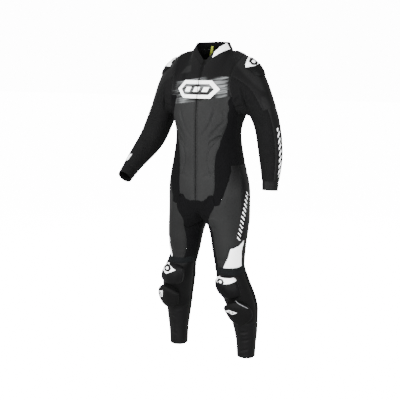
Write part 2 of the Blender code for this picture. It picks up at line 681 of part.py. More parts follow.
def hanger_loop(material, points):
    """A flat tab that hangs from the inside of the collar, beside the centre back."""
    size = HANGER_LOOP
    hook, side_hook = (points[collar_key(*key)] for key in ((CENTRE, 1, LAST_COL), (RIGHT, 1, LAST_COL - 1)))
    start = hook + (side_hook - hook) * (size["x"] / (side_hook.x - hook.x))
    down = Vector((size["tilt"], 0, -1)).normalized()
    along = Vector((down.z, 0, -down.x))
    inward = along.cross(down)
    start += inward * size["stand_off"]
    verts = []
    for depth in (0, size["wall"]):
        for drop in (0, size["drop"]):
            for across in (-size["half_width"], size["half_width"]):
                verts.append(start + inward * depth + down * drop + along * across)
    faces = [(0, 1, 3, 2), (4, 6, 7, 5), (0, 4, 5, 1), (2, 3, 7, 6), (0, 2, 6, 4), (1, 5, 7, 3)]
    if inward.cross(down).dot(along) < 0:
        faces = [face[::-1] for face in faces]
    return link("hanger_loop", material, verts, faces)


def main():
    for old in list(bpy.data.objects):
        bpy.data.objects.remove(old)
    bpy.context.scene.collection.children.link(bpy.data.collections.new("Race suit"))
    colours = {}
    for name, (red, green, blue, rough) in MATERIALS.items():
        material = bpy.data.materials.new(name)
        material.use_nodes = True
        shader = material.node_tree.nodes["Principled BSDF"]
        shader.inputs["Base Color"].default_value = (red, green, blue, 1)
        shader.inputs["Roughness"].default_value = rough
        material.diffuse_color = (red, green, blue, 1)
        colours[name] = material

    points = skin()
    panels = all_panels()
    normals = outward_normals(points, panels)
    for name, (material, cells) in panels.items():
        sew_panel(name, colours[material], cells, points, normals)

    for side in (LEFT, RIGHT):
        cells, crests = ribbed_stretch(points, normals, side)
        sew_panel("knee_stretch_" + side, colours["stretch_ribbed"], cells, points, normals, crests)
    hanger_loop(colours["loop_yellow"], points)

    for side in (LEFT, RIGHT):
        armour("shoulder_cup_" + side, colours["cup_black"], points, normals, sleeve_key, side,
               SHOULDER_CUP_AT, SHOULDER_CUP_HEIGHTS, SHOULDER_LIFT)
        armour("knee_cup_" + side, colours["cup_black"], points, normals, body_key, side,
               KNEE_CUP_AT, KNEE_CUP_HEIGHTS)
        armour("knee_slider_" + side, colours["slider_black"], points, normals, body_key, side,
               KNEE_SLIDER_AT, KNEE_SLIDER_HEIGHTS)


main()
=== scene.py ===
# %% [markdown]
# # A one-piece motorcycle race suit
# The suit is leather and stretch fabric, sewn into one hollow garment and worn by nobody, with moulded
# cups on the shoulders and knees and a puck below each knee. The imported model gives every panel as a
# plain wall in its true place. This lesson dresses that frame: it makes one smooth skin from the panels,
# creases it, cuts it back along its seams, and then adds the zip, the collar, the armour and the finishes.

import json
import math

import bmesh
import bpy
import numpy as np
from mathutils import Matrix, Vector
from mathutils.bvhtree import BVHTree
from mathutils.kdtree import KDTree

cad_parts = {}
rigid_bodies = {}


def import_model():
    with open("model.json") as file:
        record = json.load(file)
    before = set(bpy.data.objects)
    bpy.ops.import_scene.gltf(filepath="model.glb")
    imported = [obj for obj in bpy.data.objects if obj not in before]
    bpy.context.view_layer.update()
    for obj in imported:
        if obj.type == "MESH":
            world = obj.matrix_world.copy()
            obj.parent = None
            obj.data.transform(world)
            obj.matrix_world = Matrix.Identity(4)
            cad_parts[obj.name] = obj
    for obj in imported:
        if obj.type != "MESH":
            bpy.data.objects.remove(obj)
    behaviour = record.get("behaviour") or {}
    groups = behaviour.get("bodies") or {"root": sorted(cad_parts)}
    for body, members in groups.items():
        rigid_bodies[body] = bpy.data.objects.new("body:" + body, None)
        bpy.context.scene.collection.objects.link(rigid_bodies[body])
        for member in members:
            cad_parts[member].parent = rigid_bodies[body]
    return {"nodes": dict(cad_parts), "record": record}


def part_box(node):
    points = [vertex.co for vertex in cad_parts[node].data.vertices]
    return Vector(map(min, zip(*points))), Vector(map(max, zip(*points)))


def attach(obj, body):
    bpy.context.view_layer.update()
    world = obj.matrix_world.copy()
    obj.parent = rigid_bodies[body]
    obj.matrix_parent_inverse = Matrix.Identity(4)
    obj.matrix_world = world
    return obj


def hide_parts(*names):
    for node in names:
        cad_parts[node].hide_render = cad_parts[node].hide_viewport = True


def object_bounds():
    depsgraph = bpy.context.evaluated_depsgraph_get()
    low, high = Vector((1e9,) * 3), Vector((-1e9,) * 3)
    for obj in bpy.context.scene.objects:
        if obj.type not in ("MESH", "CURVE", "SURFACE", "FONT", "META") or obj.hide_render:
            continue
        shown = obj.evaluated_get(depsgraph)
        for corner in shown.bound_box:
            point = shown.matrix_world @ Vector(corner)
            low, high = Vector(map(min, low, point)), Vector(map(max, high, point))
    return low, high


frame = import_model()
CAD_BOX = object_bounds()
SLOT_OF = {part["node"]: part["material_slot"] for part in frame["record"]["subparts"]}
print("nodes:", len(frame["nodes"]), "height:", round(CAD_BOX[1].z - CAD_BOX[0].z, 3))

# %% [markdown]
# ## The camera
# The suit is seen from the front, from somewhat to the wearer's left and from shoulder height. The camera
# stands about three metres away, with a lens a little longer than normal so that the near knee isn't swollen.
# It looks at a point, so its turn is worked out from where it stands instead of being typed in.

# %% The camera
CAMERA_AT = Vector((1.3766, -2.6657, 0.0))
CAMERA_LOOKS_AT = Vector((-0.0318, -0.0169, -0.600))
LENS, SENSOR_WIDTH = 64.3, 36
HALF_A_PIXEL = 0.5 / 400
bpy.ops.object.camera_add(location=CAMERA_AT)
camera = bpy.context.object
camera.name = "camera"
camera.rotation_euler = (CAMERA_LOOKS_AT - CAMERA_AT).to_track_quat("-Z", "Y").to_euler()
camera.data.lens = LENS
camera.data.sensor_width = SENSOR_WIDTH
camera.data.shift_x = -HALF_A_PIXEL
bpy.context.scene.camera = camera
print("camera distance:", round((CAMERA_LOOKS_AT - CAMERA_AT).length, 2))

# %% [markdown]
# ## Light and floor
# Black leather shows its form only by soft highlights, so the lights are large: two in front, one at the
# side, one behind and a weak one above. Each is a plain area light turned to the suit's middle. They are
# strong, because white leather has to look white, and the black finishes are made darker to match.

# %% Lights
LIT_POINT = Vector((0, 0, -0.6))
#    name     place               size  watts
LIGHTS = (
    ("key", (-1.7, -2.8, 0.4), 1.8, 260),
    ("fill", (2.8, -1.8, 0.0), 2.2, 200),
    ("front", (0.7, -3.2, -1.0), 2.4, 170),
    ("back", (-1.0, 2.6, 0.6), 2.0, 150),
    ("top", (0.2, -0.4, 2.4), 1.6, 20),
)
for name, place, size, watts in LIGHTS:
    bpy.ops.object.light_add(type="AREA", location=place)
    light = bpy.context.object
    light.name = "light_" + name
    light.rotation_euler = (LIT_POINT - Vector(place)).to_track_quat("-Z", "Y").to_euler()
    light.data.size = size
    light.data.energy = watts
print("lights:", len(LIGHTS))

# %% The room
ROOM_GREY, SEEN_WHITE = 1.3, 14.0
world = bpy.data.worlds.new("room")
world.use_nodes = True
bpy.context.scene.world = world
room = world.node_tree.nodes["Background"]
room.inputs["Color"].default_value = (1, 1, 1, 1)
path = world.node_tree.nodes.new("ShaderNodeLightPath")
seen = world.node_tree.nodes.new("ShaderNodeMapRange")
seen.inputs["To Min"].default_value = ROOM_GREY
seen.inputs["To Max"].default_value = SEEN_WHITE
world.node_tree.links.new(path.outputs["Is Camera Ray"], seen.inputs["Value"])
world.node_tree.links.new(seen.outputs["Result"], room.inputs["Strength"])
print("room strength, lit and seen:", ROOM_GREY, SEEN_WHITE)

# %% The floor
FLOOR_DROP, FLOOR_SIZE = 0.10, 40
bpy.ops.mesh.primitive_plane_add(size=FLOOR_SIZE, location=(0, 0, CAD_BOX[0].z - FLOOR_DROP))
floor = bpy.context.object
floor.name = "floor"
pale = bpy.data.materials.new("pale floor")
pale.use_nodes = True
pale_shader = pale.node_tree.nodes["Principled BSDF"]
pale_shader.inputs["Base Color"].default_value = (0.9, 0.9, 0.9, 1)
pale_shader.inputs["Roughness"].default_value = 0.9
pale_shader.inputs["Emission Color"].default_value = (1, 1, 1, 1)
pale_shader.inputs["Emission Strength"].default_value = SEEN_WHITE
floor.data.materials.append(pale)
floor.visible_diffuse = floor.visible_glossy = False
print("floor at:", round(floor.location.z, 3))

# %% [markdown]
# ## Small helpers
# An operator works on whatever is selected, and the loaded nodes start selected. So each step first picks
# the objects that it means. Points are read and written as arrays, because a skin has many thousands.
# Loaded nodes are loose triangles, so their points are merged, and quads are made of the triangles again.

# %% Helpers
SAME_POINT = 1e-5
QUAD_BIAS = 1.5


def pick(*objs):
    """Selects these objects and nothing else, the first of them active."""
    bpy.ops.object.select_all(action="DESELECT")
    for obj in objs:
        obj.select_set(True)
    bpy.context.view_layer.objects.active = objs[0]


def edit_all(obj):
    """Opens edit mode on one object with all of it selected."""
    pick(obj)
    bpy.ops.object.mode_set(mode="EDIT")
    bpy.ops.mesh.select_all(action="SELECT")


def leave_edit():
    bpy.ops.object.mode_set(mode="OBJECT")


def merge_into_quads(distance, **limits):
    """In edit mode: merges close points and turns pairs of triangles back into quads."""
    bpy.ops.mesh.remove_doubles(threshold=distance)
    bpy.ops.mesh.tris_convert_to_quads(face_threshold=math.pi, shape_threshold=math.pi,
                                       topology_influence=QUAD_BIAS, **limits)


def apply_modifier(obj, kind, **settings):
    modifier = obj.modifiers.new(kind.title(), kind)
    for name, value in settings.items():
        setattr(modifier, name, value)
    pick(obj)
    bpy.ops.object.modifier_apply(modifier=modifier.name)


def points_of(mesh):
    points = np.empty(len(mesh.vertices) * 3)
    mesh.vertices.foreach_get("co", points)
    return points.reshape(-1, 3)


def normals_of(mesh):
    normals = np.empty(len(mesh.vertices) * 3)
    mesh.vertices.foreach_get("normal", normals)
    return normals.reshape(-1, 3)


def place_points(mesh, points):
    mesh.vertices.foreach_set("co", points.ravel())
    mesh.update()


def copy_mesh(source, name):
    """A new object on a copy of a mesh, with no material."""
    obj = bpy.data.objects.new(name, source.copy())
    obj.data.materials.clear()
    bpy.context.scene.collection.objects.link(obj)
    return obj


print("helpers ready")

# %% [markdown]
# ## One skin from the panels
# Each panel of the frame is a closed wall: an outer face, an inner face and a rim. Smoothing the panels one
# by one would open every seam, so their outer faces are joined into one skin first. The rim is known by its
# short edges, which cross the wall, and of the two faces left the outer one is the larger.

# %% Outer faces
THROUGH_WALL = 0.0025
ARMOUR_NODES = [n for n in frame["nodes"] if n.startswith(("shoulder_cup", "knee_cup", "knee_slider"))]
COLLAR_NODES = [n for n in frame["nodes"] if n.startswith("collar")]
PANEL_NODES = sorted(set(frame["nodes"]) - set(ARMOUR_NODES) - set(COLLAR_NODES) - {"hanger_loop"})


def outer_face(node):
    """The outer face of a panel, in a material slot that keeps the panel's name."""
    sheet = copy_mesh(frame["nodes"][node].data, "sheet_" + node)
    sheet.data.materials.append(bpy.data.materials.new(node))
    edit_all(sheet)
    bpy.ops.mesh.remove_doubles(threshold=SAME_POINT)
    bpy.ops.mesh.select_mode(type="FACE")
    bpy.ops.mesh.select_all(action="DESELECT")
    for face in bmesh.from_edit_mesh(sheet.data).faces:
        face.select_set(min(edge.calc_length() for edge in face.edges) < THROUGH_WALL)
    bpy.ops.mesh.delete(type="FACE")
    shape = bmesh.from_edit_mesh(sheet.data)
    shape.faces.ensure_lookup_table()
    shape.faces[0].select_set(True)
    bpy.ops.mesh.select_linked()
    shape = bmesh.from_edit_mesh(sheet.data)
    picked = sum(face.calc_area() for face in shape.faces if face.select)
    if picked > sum(face.calc_area() for face in shape.faces if not face.select):
        bpy.ops.mesh.select_all(action="INVERT")
    bpy.ops.mesh.delete(type="VERT")
    leave_edit()
    return sheet


sheets = {node: outer_face(node) for node in PANEL_NODES}
print("panels:", len(sheets), "faces:", sum(len(s.data.polygons) for s in sheets.values()))

# %% [markdown]
# The stretch above each knee comes with raised ribs. The skin needs it plain, and the ribs come back
# finer later on. Its inner rows are deleted, and the two edges that are left are bridged.

# %% Plain stretch above the knees
ROW_REACH = 0.001


def plain_between(sheet, low_z, high_z):
    edit_all(sheet)
    bpy.ops.mesh.select_mode(type="VERT")
    bpy.ops.mesh.select_all(action="DESELECT")
    for vert in bmesh.from_edit_mesh(sheet.data).verts:
        vert.select_set(low_z + ROW_REACH < vert.co.z < high_z - ROW_REACH)
    bpy.ops.mesh.delete(type="VERT")
    bpy.ops.mesh.select_all(action="SELECT")
    bpy.ops.mesh.bridge_edge_loops()
    leave_edit()


for side in "LR":
    low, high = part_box("knee_stretch_" + side)
    plain_between(sheets["knee_stretch_" + side], low.z, high.z)
    print("stretch", side, "faces:", len(sheets["knee_stretch_" + side].data.polygons))

# %% [markdown]
# Joined, the sheets lie 0.3 mm apart along their seams, so merging by distance closes the skin. Its
# triangles are turned back into quads inside each panel, because a subdivision surface runs smoothly along
# rows of quads and dimples on triangles.

# %% The skin
SEAM_MERGE = 0.002
pick(*sheets.values())
bpy.ops.object.join()
skin = bpy.context.object
skin.name = "skin"
edit_all(skin)
merge_into_quads(SEAM_MERGE, materials=True)
bpy.ops.mesh.select_all(action="SELECT")
bpy.ops.mesh.normals_make_consistent(inside=False)
leave_edit()
print("skin faces:", len(skin.data.polygons),
      "triangles left:", sum(len(p.vertices) == 3 for p in skin.data.polygons))

# %% [markdown]
# ## Smoothing without shrinking
# Subdivision rounds a cage off by pulling its corners in. How far each corner moves is measured on a trial
# subdivision, the cage is pushed out by most of that, and only then is the skin subdivided for good.

# %% Smooth skin
SKIN_LEVELS = 3
PUSH_OUT = (0.9, 0.5)


def pulled_in(obj, levels):
    """Where a subdivision leaves each corner of the cage."""
    trial = obj.modifiers.new("trial", "SUBSURF")
    trial.levels = levels
    smooth = obj.evaluated_get(bpy.context.evaluated_depsgraph_get())
    corners = points_of(smooth.to_mesh())[:len(obj.data.vertices)]
    smooth.to_mesh_clear()
    obj.modifiers.remove(trial)
    return corners


def push_out(obj, levels):
    """Moves the corners of a cage so that its subdivision passes close to where they were."""
    wanted = points_of(obj.data)
    for share in PUSH_OUT:
        place_points(obj.data, points_of(obj.data) + share * (wanted - pulled_in(obj, levels)))
    return float(np.abs(wanted - pulled_in(obj, levels)).max())


print("left to push, mm:", round(1000 * push_out(skin, SKIN_LEVELS), 2))
apply_modifier(skin, "SUBSURF", levels=SKIN_LEVELS, render_levels=SKIN_LEVELS)
print("skin quads:", len(skin.data.polygons))

# %% [markdown]
# ## Drawing the seams
# The frame's seams run along its rows of points, so they turn in steps. Here they are drawn to their true
# lines: the skin's points near a place slide along the surface, most at its middle and less further out.

# %% Seam moves
#   from (x, y, z)       to (x, y, z), in millimetres, near the skin
SEAM_MOVES = (
    ((146, -51, -438), (137, -66, -436)),       # left thigh and flank, downwards
    ((145, -65, -477), (136, -79, -476)),
    ((140, -79, -513), (128, -91, -512)),
    ((134, -86, -549), (119, -98, -549)),
    ((122, -97, -574), (114, -101, -573)),
    ((107, -104, -597), (100, -106, -593)),
    ((85, -110, -598), (89, -110, -606)),
    ((82, -113, -616), (76, -112, -619)),
    ((76, -114, -633), (67, -112, -635)),
    ((65, -113, -654), (62, -112, -654)),
    ((113, -77, -154), (134, -78, -154)),       # outer edge of the left front
    ((122, -76, -198), (130, -71, -198)),
    ((131, -71, -234), (125, -78, -231)),
    ((117, -74, -274), (117, -74, -274)),
    ((89, -98, -354), (94, -95, -354)),
    ((-81, -112, -556), (-80, -112, -556)),     # lower end of both fronts, from right to left
    ((-68, -114, -556), (-69, -114, -567)),
    ((-55, -115, -566), (-55, -115, -575)),
    ((-36, -115, -598), (-34, -119, -582)),
    ((-6, -118, -599), (-5, -120, -585)),
    ((22, -118, -598), (23, -121, -582)),
    ((39, -115, -593), (41, -118, -577)),
    ((60, -115, -558), (59, -115, -567)),
    ((76, -111, -559), (73, -112, -557)),
    ((176, -9, -740), (176, -16, -755)),        # white panel of the left knee, from its tip down
    ((175, -32, -755), (173, -39, -759)),
    ((170, -46, -773), (165, -61, -766)),
    ((154, -76, -773), (154, -76, -772)),
    ((143, -87, -773), (144, -84, -777)),
    ((173, -5, -800), (173, -22, -796)),
    ((171, -11, -834), (171, -21, -832)),
    ((170, -12, -865), (170, -18, -863)),
    ((138, -90, -784), (135, -90, -791)),
    ((125, -90, -816), (129, -87, -816)),
    ((111, -87, -844), (118, -86, -844)),
    ((-125, -93, -786), (-147, -80, -792)),     # white panel of the right knee
    ((-112, -90, -812), (-143, -77, -819)),
    ((-101, -86, -838), (-134, -81, -846)),
    ((-98, -107, -588), (-110, -102, -590)),    # right thigh, from the hip down its inner edge
    ((-82, -111, -592), (-101, -107, -606)),
    ((-74, -112, -615), (-89, -112, -621)),
    ((-62, -112, -640), (-77, -113, -643)),
    ((-58, -111, -661), (-68, -111, -664)),
    ((-61, -98, -694), (-63, -100, -694)),
    ((-67, -92, -735), (-61, -89, -735)),
    ((-71, -88, -767), (-60, -81, -768)),
    ((-77, -83, -805), (-64, -74, -805)),
    ((-82, -79, -835), (-63, -65, -836)),
)
MOVE_REACH = 0.022


def slide_along(points, tree, moves, reach):
    """Slides points near the starts of the moves by as much as those ask, and keeps them on the surface."""
    starts, ends = (np.array([tree.find_nearest(Vector(move[side]) / 1000)[0] for move in moves])
                    for side in (0, 1))
    away = np.linalg.norm(points[:, None] - starts[None], axis=2)
    pull = np.exp(-(away / reach) ** 2)
    shift = (pull @ (ends - starts)) / np.maximum(pull.sum(axis=1), 1)[:, None]
    for number in np.flatnonzero(np.linalg.norm(shift, axis=1) > SAME_POINT):
        points[number] = tree.find_nearest(Vector(points[number] + shift[number]))[0]


skin_tree = BVHTree.FromObject(skin, bpy.context.evaluated_depsgraph_get())
skin_points = points_of(skin.data)
slide_along(skin_points, skin_tree, SEAM_MOVES, MOVE_REACH)
place_points(skin.data, skin_points)
print("seam moves:", len(SEAM_MOVES))

# %% [markdown]
# ## Creases
# Leather folds where it is short of room: under the bust, at the waist, inside an elbow, behind a knee. Each
# crease here is a short line of points on the skin. The skin sinks along it and rises a little on both
# sides, most in the middle of the line and not at all at its ends. Waves along it make no two alike.

# %% Crease tool
RIDGE_AT, RIDGE_WIDTH, RIDGE_SHARE, RIDGE_TAIL = 1.9, 0.8, 0.45, 2.2
CREASE_STEPS, ROUNDINGS, END_FADE = 24, 3, 0.7
LAYER_SPREAD, LAYER_SHARPNESS = 0.2, 3
#   share, radians along the line, shift by height
UNEVEN = ((0.22, 9, 40), (0.12, 23, 0))


def along(line, count=CREASE_STEPS):
    """Points spread evenly along a line of control points, rounded at its corners."""
    line = np.array(line, dtype=float)
    steps = np.linspace(0, len(line) - 1, count)
    places = np.stack([np.interp(steps, np.arange(len(line)), line[:, axis]) for axis in range(3)], axis=1)
    for _ in range(ROUNDINGS):
        places[1:-1] = (places[:-2] + 2 * places[1:-1] + places[2:]) / 4
    return places


def press_crease(points, normals, line, width, depth, lean):
    """Moves skin points along their normals for one crease; lean makes one of its two ridges higher."""
    places = along(line)
    reach = width * (RIDGE_AT + RIDGE_TAIL)
    low, high = places.min(axis=0) - reach, places.max(axis=0) + reach
    near = np.flatnonzero(np.all((points > low) & (points < high), axis=1))
    if not len(near):
        return
    start, run = places[:-1], np.diff(places, axis=0)
    offset = points[near, None, :] - start[None]
    share = np.clip((offset * run).sum(-1) / (run * run).sum(-1), 0, 1)
    gap = offset - share[..., None] * run
    away = np.linalg.norm(gap, axis=-1)
    best = away.argmin(axis=1)
    rows = np.arange(len(near))
    distance = away[rows, best]
    travelled = (best + share[rows, best]) / len(run)
    side = np.sign((np.cross(run[best], normals[near]) * gap[rows, best]).sum(-1))
    # A crease belongs to the layer that it lies on, not to a sleeve or leg that passes close by.
    middle = near[best == len(run) // 2]
    facing = normals[middle].mean(axis=0) if len(middle) else normals[near].mean(axis=0)
    same_layer = np.clip((normals[near] @ facing + LAYER_SPREAD) * LAYER_SHARPNESS, 0, 1)
    fade = np.sin(np.pi * np.clip(travelled, 0, 1)) ** END_FADE
    uneven = 1 + sum(share_of * np.sin(radians * travelled + shift * places[0, 2])
                     for share_of, radians, shift in UNEVEN)
    trough = np.exp(-(distance / width) ** 2)
    ridges = np.exp(-((distance - RIDGE_AT * width) / (RIDGE_WIDTH * width)) ** 2) * (1 + lean * side)
    height = depth * fade * uneven * same_layer * (RIDGE_SHARE * ridges - trough)
    points[near] += height[:, None] * normals[near]


print("crease steps:", CREASE_STEPS)

# %% [markdown]
# The table gives each crease by its width and depth in millimetres, its lean, and a few points near the skin,
# also in millimetres. The points are drawn to the skin itself, so they needn't be exact. A negative depth
# makes a soft ridge. The wearer's right side has the folds of the left, weaker on the trunk, and moved up or
# down to its own sleeve and knee.

# %% Crease table
#    width depth lean   points (x, y, z), in millimetres
FRONT_CREASES = (
    (5.5, 2.4, 0.5, ((88, -95, -178), (78, -104, -209), (68, -110, -245), (56, -113, -274), (38, -116, -298),
                     (20, -119, -319))),
    (6.0, 2.4, -0.4, ((125, -77, -238), (113, -85, -257), (92, -97, -277), (71, -107, -302), (60, -111, -318),
                      (52, -115, -352))),
    (5.0, 3.2, 0.6, ((108, -82, -312), (88, -96, -321), (67, -108, -334), (54, -114, -356))),
    (4.5, 1.4, 0.3, ((68, -110, -243), (74, -107, -280))),
    (8.0, -1.0, 0.0, ((18, -120, -325), (14, -121, -372), (15, -122, -413), (19, -121, -470))),
    (6.0, 1.2, 0.2, ((104, -84, -205), (112, -84, -228), (108, -88, -252))),
    (7.0, 1.3, 0.3, ((30, -119, -486), (62, -115, -470), (92, -108, -458))),
    (7.0, 1.6, -0.3, ((24, -110, -628), (52, -111, -616), (92, -108, -600))),
    (6.0, 1.8, 0.4, ((14, -98, -662), (44, -106, -650), (84, -104, -642))),
    (6.5, 1.5, 0.0, ((30, -80, -706), (56, -92, -694), (90, -98, -690))),
    (6.5, 1.4, 0.3, ((64, -86, -826), (94, -94, -834), (124, -92, -829))),
)
ARM_CREASES = (
    (4.5, 4.2, 0.2, ((175, -61, -108), (180, -62, -136), (184, -58, -169), (192, -46, -196),
                     (196, -26, -222))),
    (5.0, 1.2, -0.3, ((190, -58, -128), (197, -52, -160), (206, -40, -190))),
    (6.0, 2.6, 0.3, ((234, -36, -214), (254, -34, -238), (286, -20, -256))),
    (6.0, 2.0, -0.3, ((226, -30, -250), (244, -36, -268), (272, -34, -280))),
    (6.0, 2.8, 0.4, ((258, -44, -352), (284, -52, -350), (314, -33, -346))),
    (5.5, 2.4, 0.4, ((260, -50, -382), (290, -56, -386), (318, -38, -378))),
    (5.5, 1.9, -0.3, ((266, -56, -412), (298, -60, -418), (326, -38, -408))),
    (6.0, 1.4, 0.2, ((276, 0, -432), (300, 10, -440), (322, 0, -436))),
    (7.0, 1.8, 0.2, ((300, 60, -300), (310, 66, -322), (318, 50, -340))),
    (7.0, 2.0, -0.2, ((244, 60, -300), (262, 52, -322), (282, 54, -340))),
    (6.5, 2.2, 0.4, ((142, -58, -178), (156, -52, -160), (176, -46, -150))),
    (6.0, 1.8, -0.3, ((138, -64, -202), (160, -44, -188), (184, -34, -180))),
    (6.5, 2.2, 0.3, ((140, 70, -170), (160, 74, -152), (184, 76, -146))),
    (6.0, 1.8, -0.3, ((132, 76, -206), (150, 66, -192), (176, 60, -180))),
)
BACK_CREASES = (
    (8.0, 2.2, 0.3, ((22, 126, -372), (64, 120, -366), (118, 98, -378))),
    (7.0, 1.6, -0.3, ((40, 124, -346), (78, 116, -340), (112, 100, -346))),
    (8.0, 1.8, 0.3, ((30, 118, -300), (74, 112, -276), (118, 86, -240))),
    (9.0, 1.6, 0.2, ((18, 126, -180), (44, 124, -210), (60, 122, -262))),
    (7.0, 1.8, -0.2, ((24, 122, -492), (70, 122, -500), (128, 98, -492))),
    (8.0, 2.4, 0.4, ((26, 100, -690), (68, 112, -684), (122, 96, -690))),
    (7.0, 1.8, 0.3, ((24, 84, -716), (66, 98, -716), (108, 92, -722))),
    (7.0, 1.4, -0.2, ((46, 60, -800), (80, 78, -806), (120, 76, -798))),
)
LEG_CREASES = (
    (7.0, 3.0, 0.3, ((96, 56, -934), (130, 74, -928), (176, 62, -934))),
    (7.0, 3.4, -0.3, ((98, 60, -962), (142, 80, -958), (196, 52, -966))),
    (6.5, 2.8, 0.3, ((108, 66, -988), (150, 82, -990), (196, 62, -984))),
    (6.0, 2.0, 0.2, ((70, 20, -950), (80, 34, -956), (96, 54, -950))),
    (6.0, 1.8, 0.2, ((206, 10, -1000), (212, 28, -990), (208, 48, -996))),
    (5.5, 2.2, 0.4, ((150, -20, -1172), (172, -26, -1164), (200, -12, -1156))),
    (5.0, 1.6, -0.3, ((158, -15, -1208), (182, -16, -1200), (208, 4, -1192))),
    (5.0, 2.0, 0.3, ((154, -9, -1254), (174, -12, -1248), (196, -2, -1240))),
    (5.0, 1.4, 0.2, ((168, 62, -1160), (190, 68, -1168), (206, 52, -1162))),
    (5.0, 1.5, -0.2, ((150, 66, -1218), (176, 74, -1226), (200, 62, -1218))),
    (5.5, 1.4, 0.2, ((126, 0, -1120), (146, -24, -1128), (162, -32, -1136))),
)
CREASE_GAIN = 1.5
RIGHT_SHARE, RIGHT_DROP = 0.75, 0.004
RIGHT_FRONT_SHARE = 0.45
LEFT_KNEE_DROP = 0.022


def on_skin(tree, line, mirrored, drop):
    """The points of a table line in metres, drawn to the nearest place of the skin."""
    side = -1 if mirrored else 1
    return [tree.find_nearest(Vector((side * x, y, z)) / 1000 - Vector((0, 0, drop)))[0] for x, y, z in line]


print("rows of creases:", [len(rows) for rows in (FRONT_CREASES, ARM_CREASES, BACK_CREASES, LEG_CREASES)])

# %% Pressing the creases
skin_tree = BVHTree.FromObject(skin, bpy.context.evaluated_depsgraph_get())
skin_points, skin_normals = points_of(skin.data), normals_of(skin.data)
pressed = 0
for table, right_share, right_drop in (
        (FRONT_CREASES, RIGHT_FRONT_SHARE, RIGHT_DROP), (ARM_CREASES, 1.0, RIGHT_DROP),
        (BACK_CREASES, RIGHT_SHARE, -RIGHT_DROP), (LEG_CREASES, 1.0, -LEFT_KNEE_DROP)):
    for width, depth, lean, line in table:
        for mirrored in (False, True):
            share, drop = (right_share, right_drop) if mirrored else (1.0, 0.0)
            press_crease(skin_points, skin_normals, on_skin(skin_tree, line, mirrored, drop),
                         width / 1000, CREASE_GAIN * share * depth / 1000, lean)
            pressed += 1
place_points(skin.data, skin_points)
print("creases:", pressed)

# %% [markdown]
# ## Seams
# Where two panels meet, both are turned in and sewn, so the surface dips in a narrow soft groove. The dip
# is made before the skin is cut up, so the two sides of a seam match.

# %% Seam grooves
SEAM_DIP, SEAM_REACH = 0.0017, 0.0045


def seam_lines(mesh):
    """Numbers of the points on an edge between two panels."""
    shape = bmesh.new()
    shape.from_mesh(mesh)
    shape.verts.ensure_lookup_table()
    found = set()
    for edge in shape.edges:
        if len(edge.link_faces) == 2 and len({face.material_index for face in edge.link_faces}) == 2:
            found.update(vert.index for vert in edge.verts)
    shape.free()
    return sorted(found)


def distance_to(places, points):
    """How far each point is from the nearest of the places."""
    tree = KDTree(len(places))
    for number, place in enumerate(places):
        tree.insert(place, number)
    tree.balance()
    return np.array([tree.find(point)[2] for point in points])


def dip_along(points, normals, centres, depth, reach):
    away = distance_to(centres, points)
    points -= (depth * np.exp(-(away / reach) ** 2))[:, None] * normals


skin_points, skin_normals = points_of(skin.data), normals_of(skin.data)
seams = seam_lines(skin.data)
dip_along(skin_points, skin_normals, skin_points[seams], SEAM_DIP, SEAM_REACH)
place_points(skin.data, skin_points)
print("seam points:", len(seams))

# %% [markdown]
# ## Panels of cloth
# The skin is cut at its seams, one object a panel. Each panel's edge draws back a little, and then the sheet
# gets its thickness towards the inside, where a wearer would be.

# %% Panels
SEAM_GAP = 0.00015
CLOTH_THICKNESS = {"leather": 0.0018, "stretch": 0.0016, "zip": 0.0016}
edit_all(skin)
bpy.ops.mesh.separate(type="MATERIAL")
leave_edit()
panels = {obj.data.materials[0].name: obj for obj in bpy.context.selected_objects}


def inward_edges(vert):
    """The ways from a corner on an open edge along the edges that leave it into the sheet."""
    return [edge.other_vert(vert).co - vert.co for edge in vert.link_edges if not edge.is_boundary]


def draw_back(mesh, gap):
    """Moves the open edge of a sheet into the sheet."""
    shape = bmesh.new()
    shape.from_mesh(mesh)
    moves = {}
    for vert in shape.verts:
        if not vert.is_boundary:
            continue
        inward = inward_edges(vert)
        if inward:
            moves[vert] = sum(inward, Vector()).normalized() * gap
    for vert, move in moves.items():
        vert.co += move
    shape.to_mesh(mesh)
    shape.free()


for node, panel in panels.items():
    panel.name = node + "_cloth"
    panel.data.materials.clear()
    draw_back(panel.data, SEAM_GAP)
print("panels cut:", len(panels))

# %% [markdown]
# The stretch above each knee is gathered into fine ribs, so that it opens like a bellows when the knee bends.
# Its few large faces are cut finer, and its points are raised in waves that die out at its edges.

# %% Ribs above the knees
RIB_COUNT, RIB_HEIGHT, RIB_FADE, RIB_CUTS = 5, 0.0015, 0.004, 2


def raise_ribs(panel, low_z, high_z):
    edit_all(panel)
    bpy.ops.mesh.subdivide(number_cuts=RIB_CUTS)
    leave_edit()
    shape = bmesh.new()
    shape.from_mesh(panel.data)
    rim = [vert.co.copy() for vert in shape.verts if vert.is_boundary]
    shape.free()
    points, normals = points_of(panel.data), normals_of(panel.data)
    share = (points[:, 2] - low_z) / (high_z - low_z)
    fade = np.clip(distance_to(rim, points) / RIB_FADE, 0, 1)
    height = RIB_HEIGHT * fade * np.sin(math.pi * RIB_COUNT * share) ** 2
    place_points(panel.data, points + height[:, None] * normals)


for side in "LR":
    low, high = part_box("knee_stretch_" + side)
    raise_ribs(panels["knee_stretch_" + side], low.z, high.z)
print("ribs:", RIB_COUNT)

# %% Thickness
SMOOTH_LIMIT = math.radians(50)


def thicken(obj, thickness):
    apply_modifier(obj, "SOLIDIFY", thickness=thickness, offset=-1,
                   use_quality_normals=True, thickness_clamp=1.0)


def smooth(obj, limit=SMOOTH_LIMIT):
    pick(obj)
    bpy.ops.object.shade_smooth_by_angle(angle=limit)


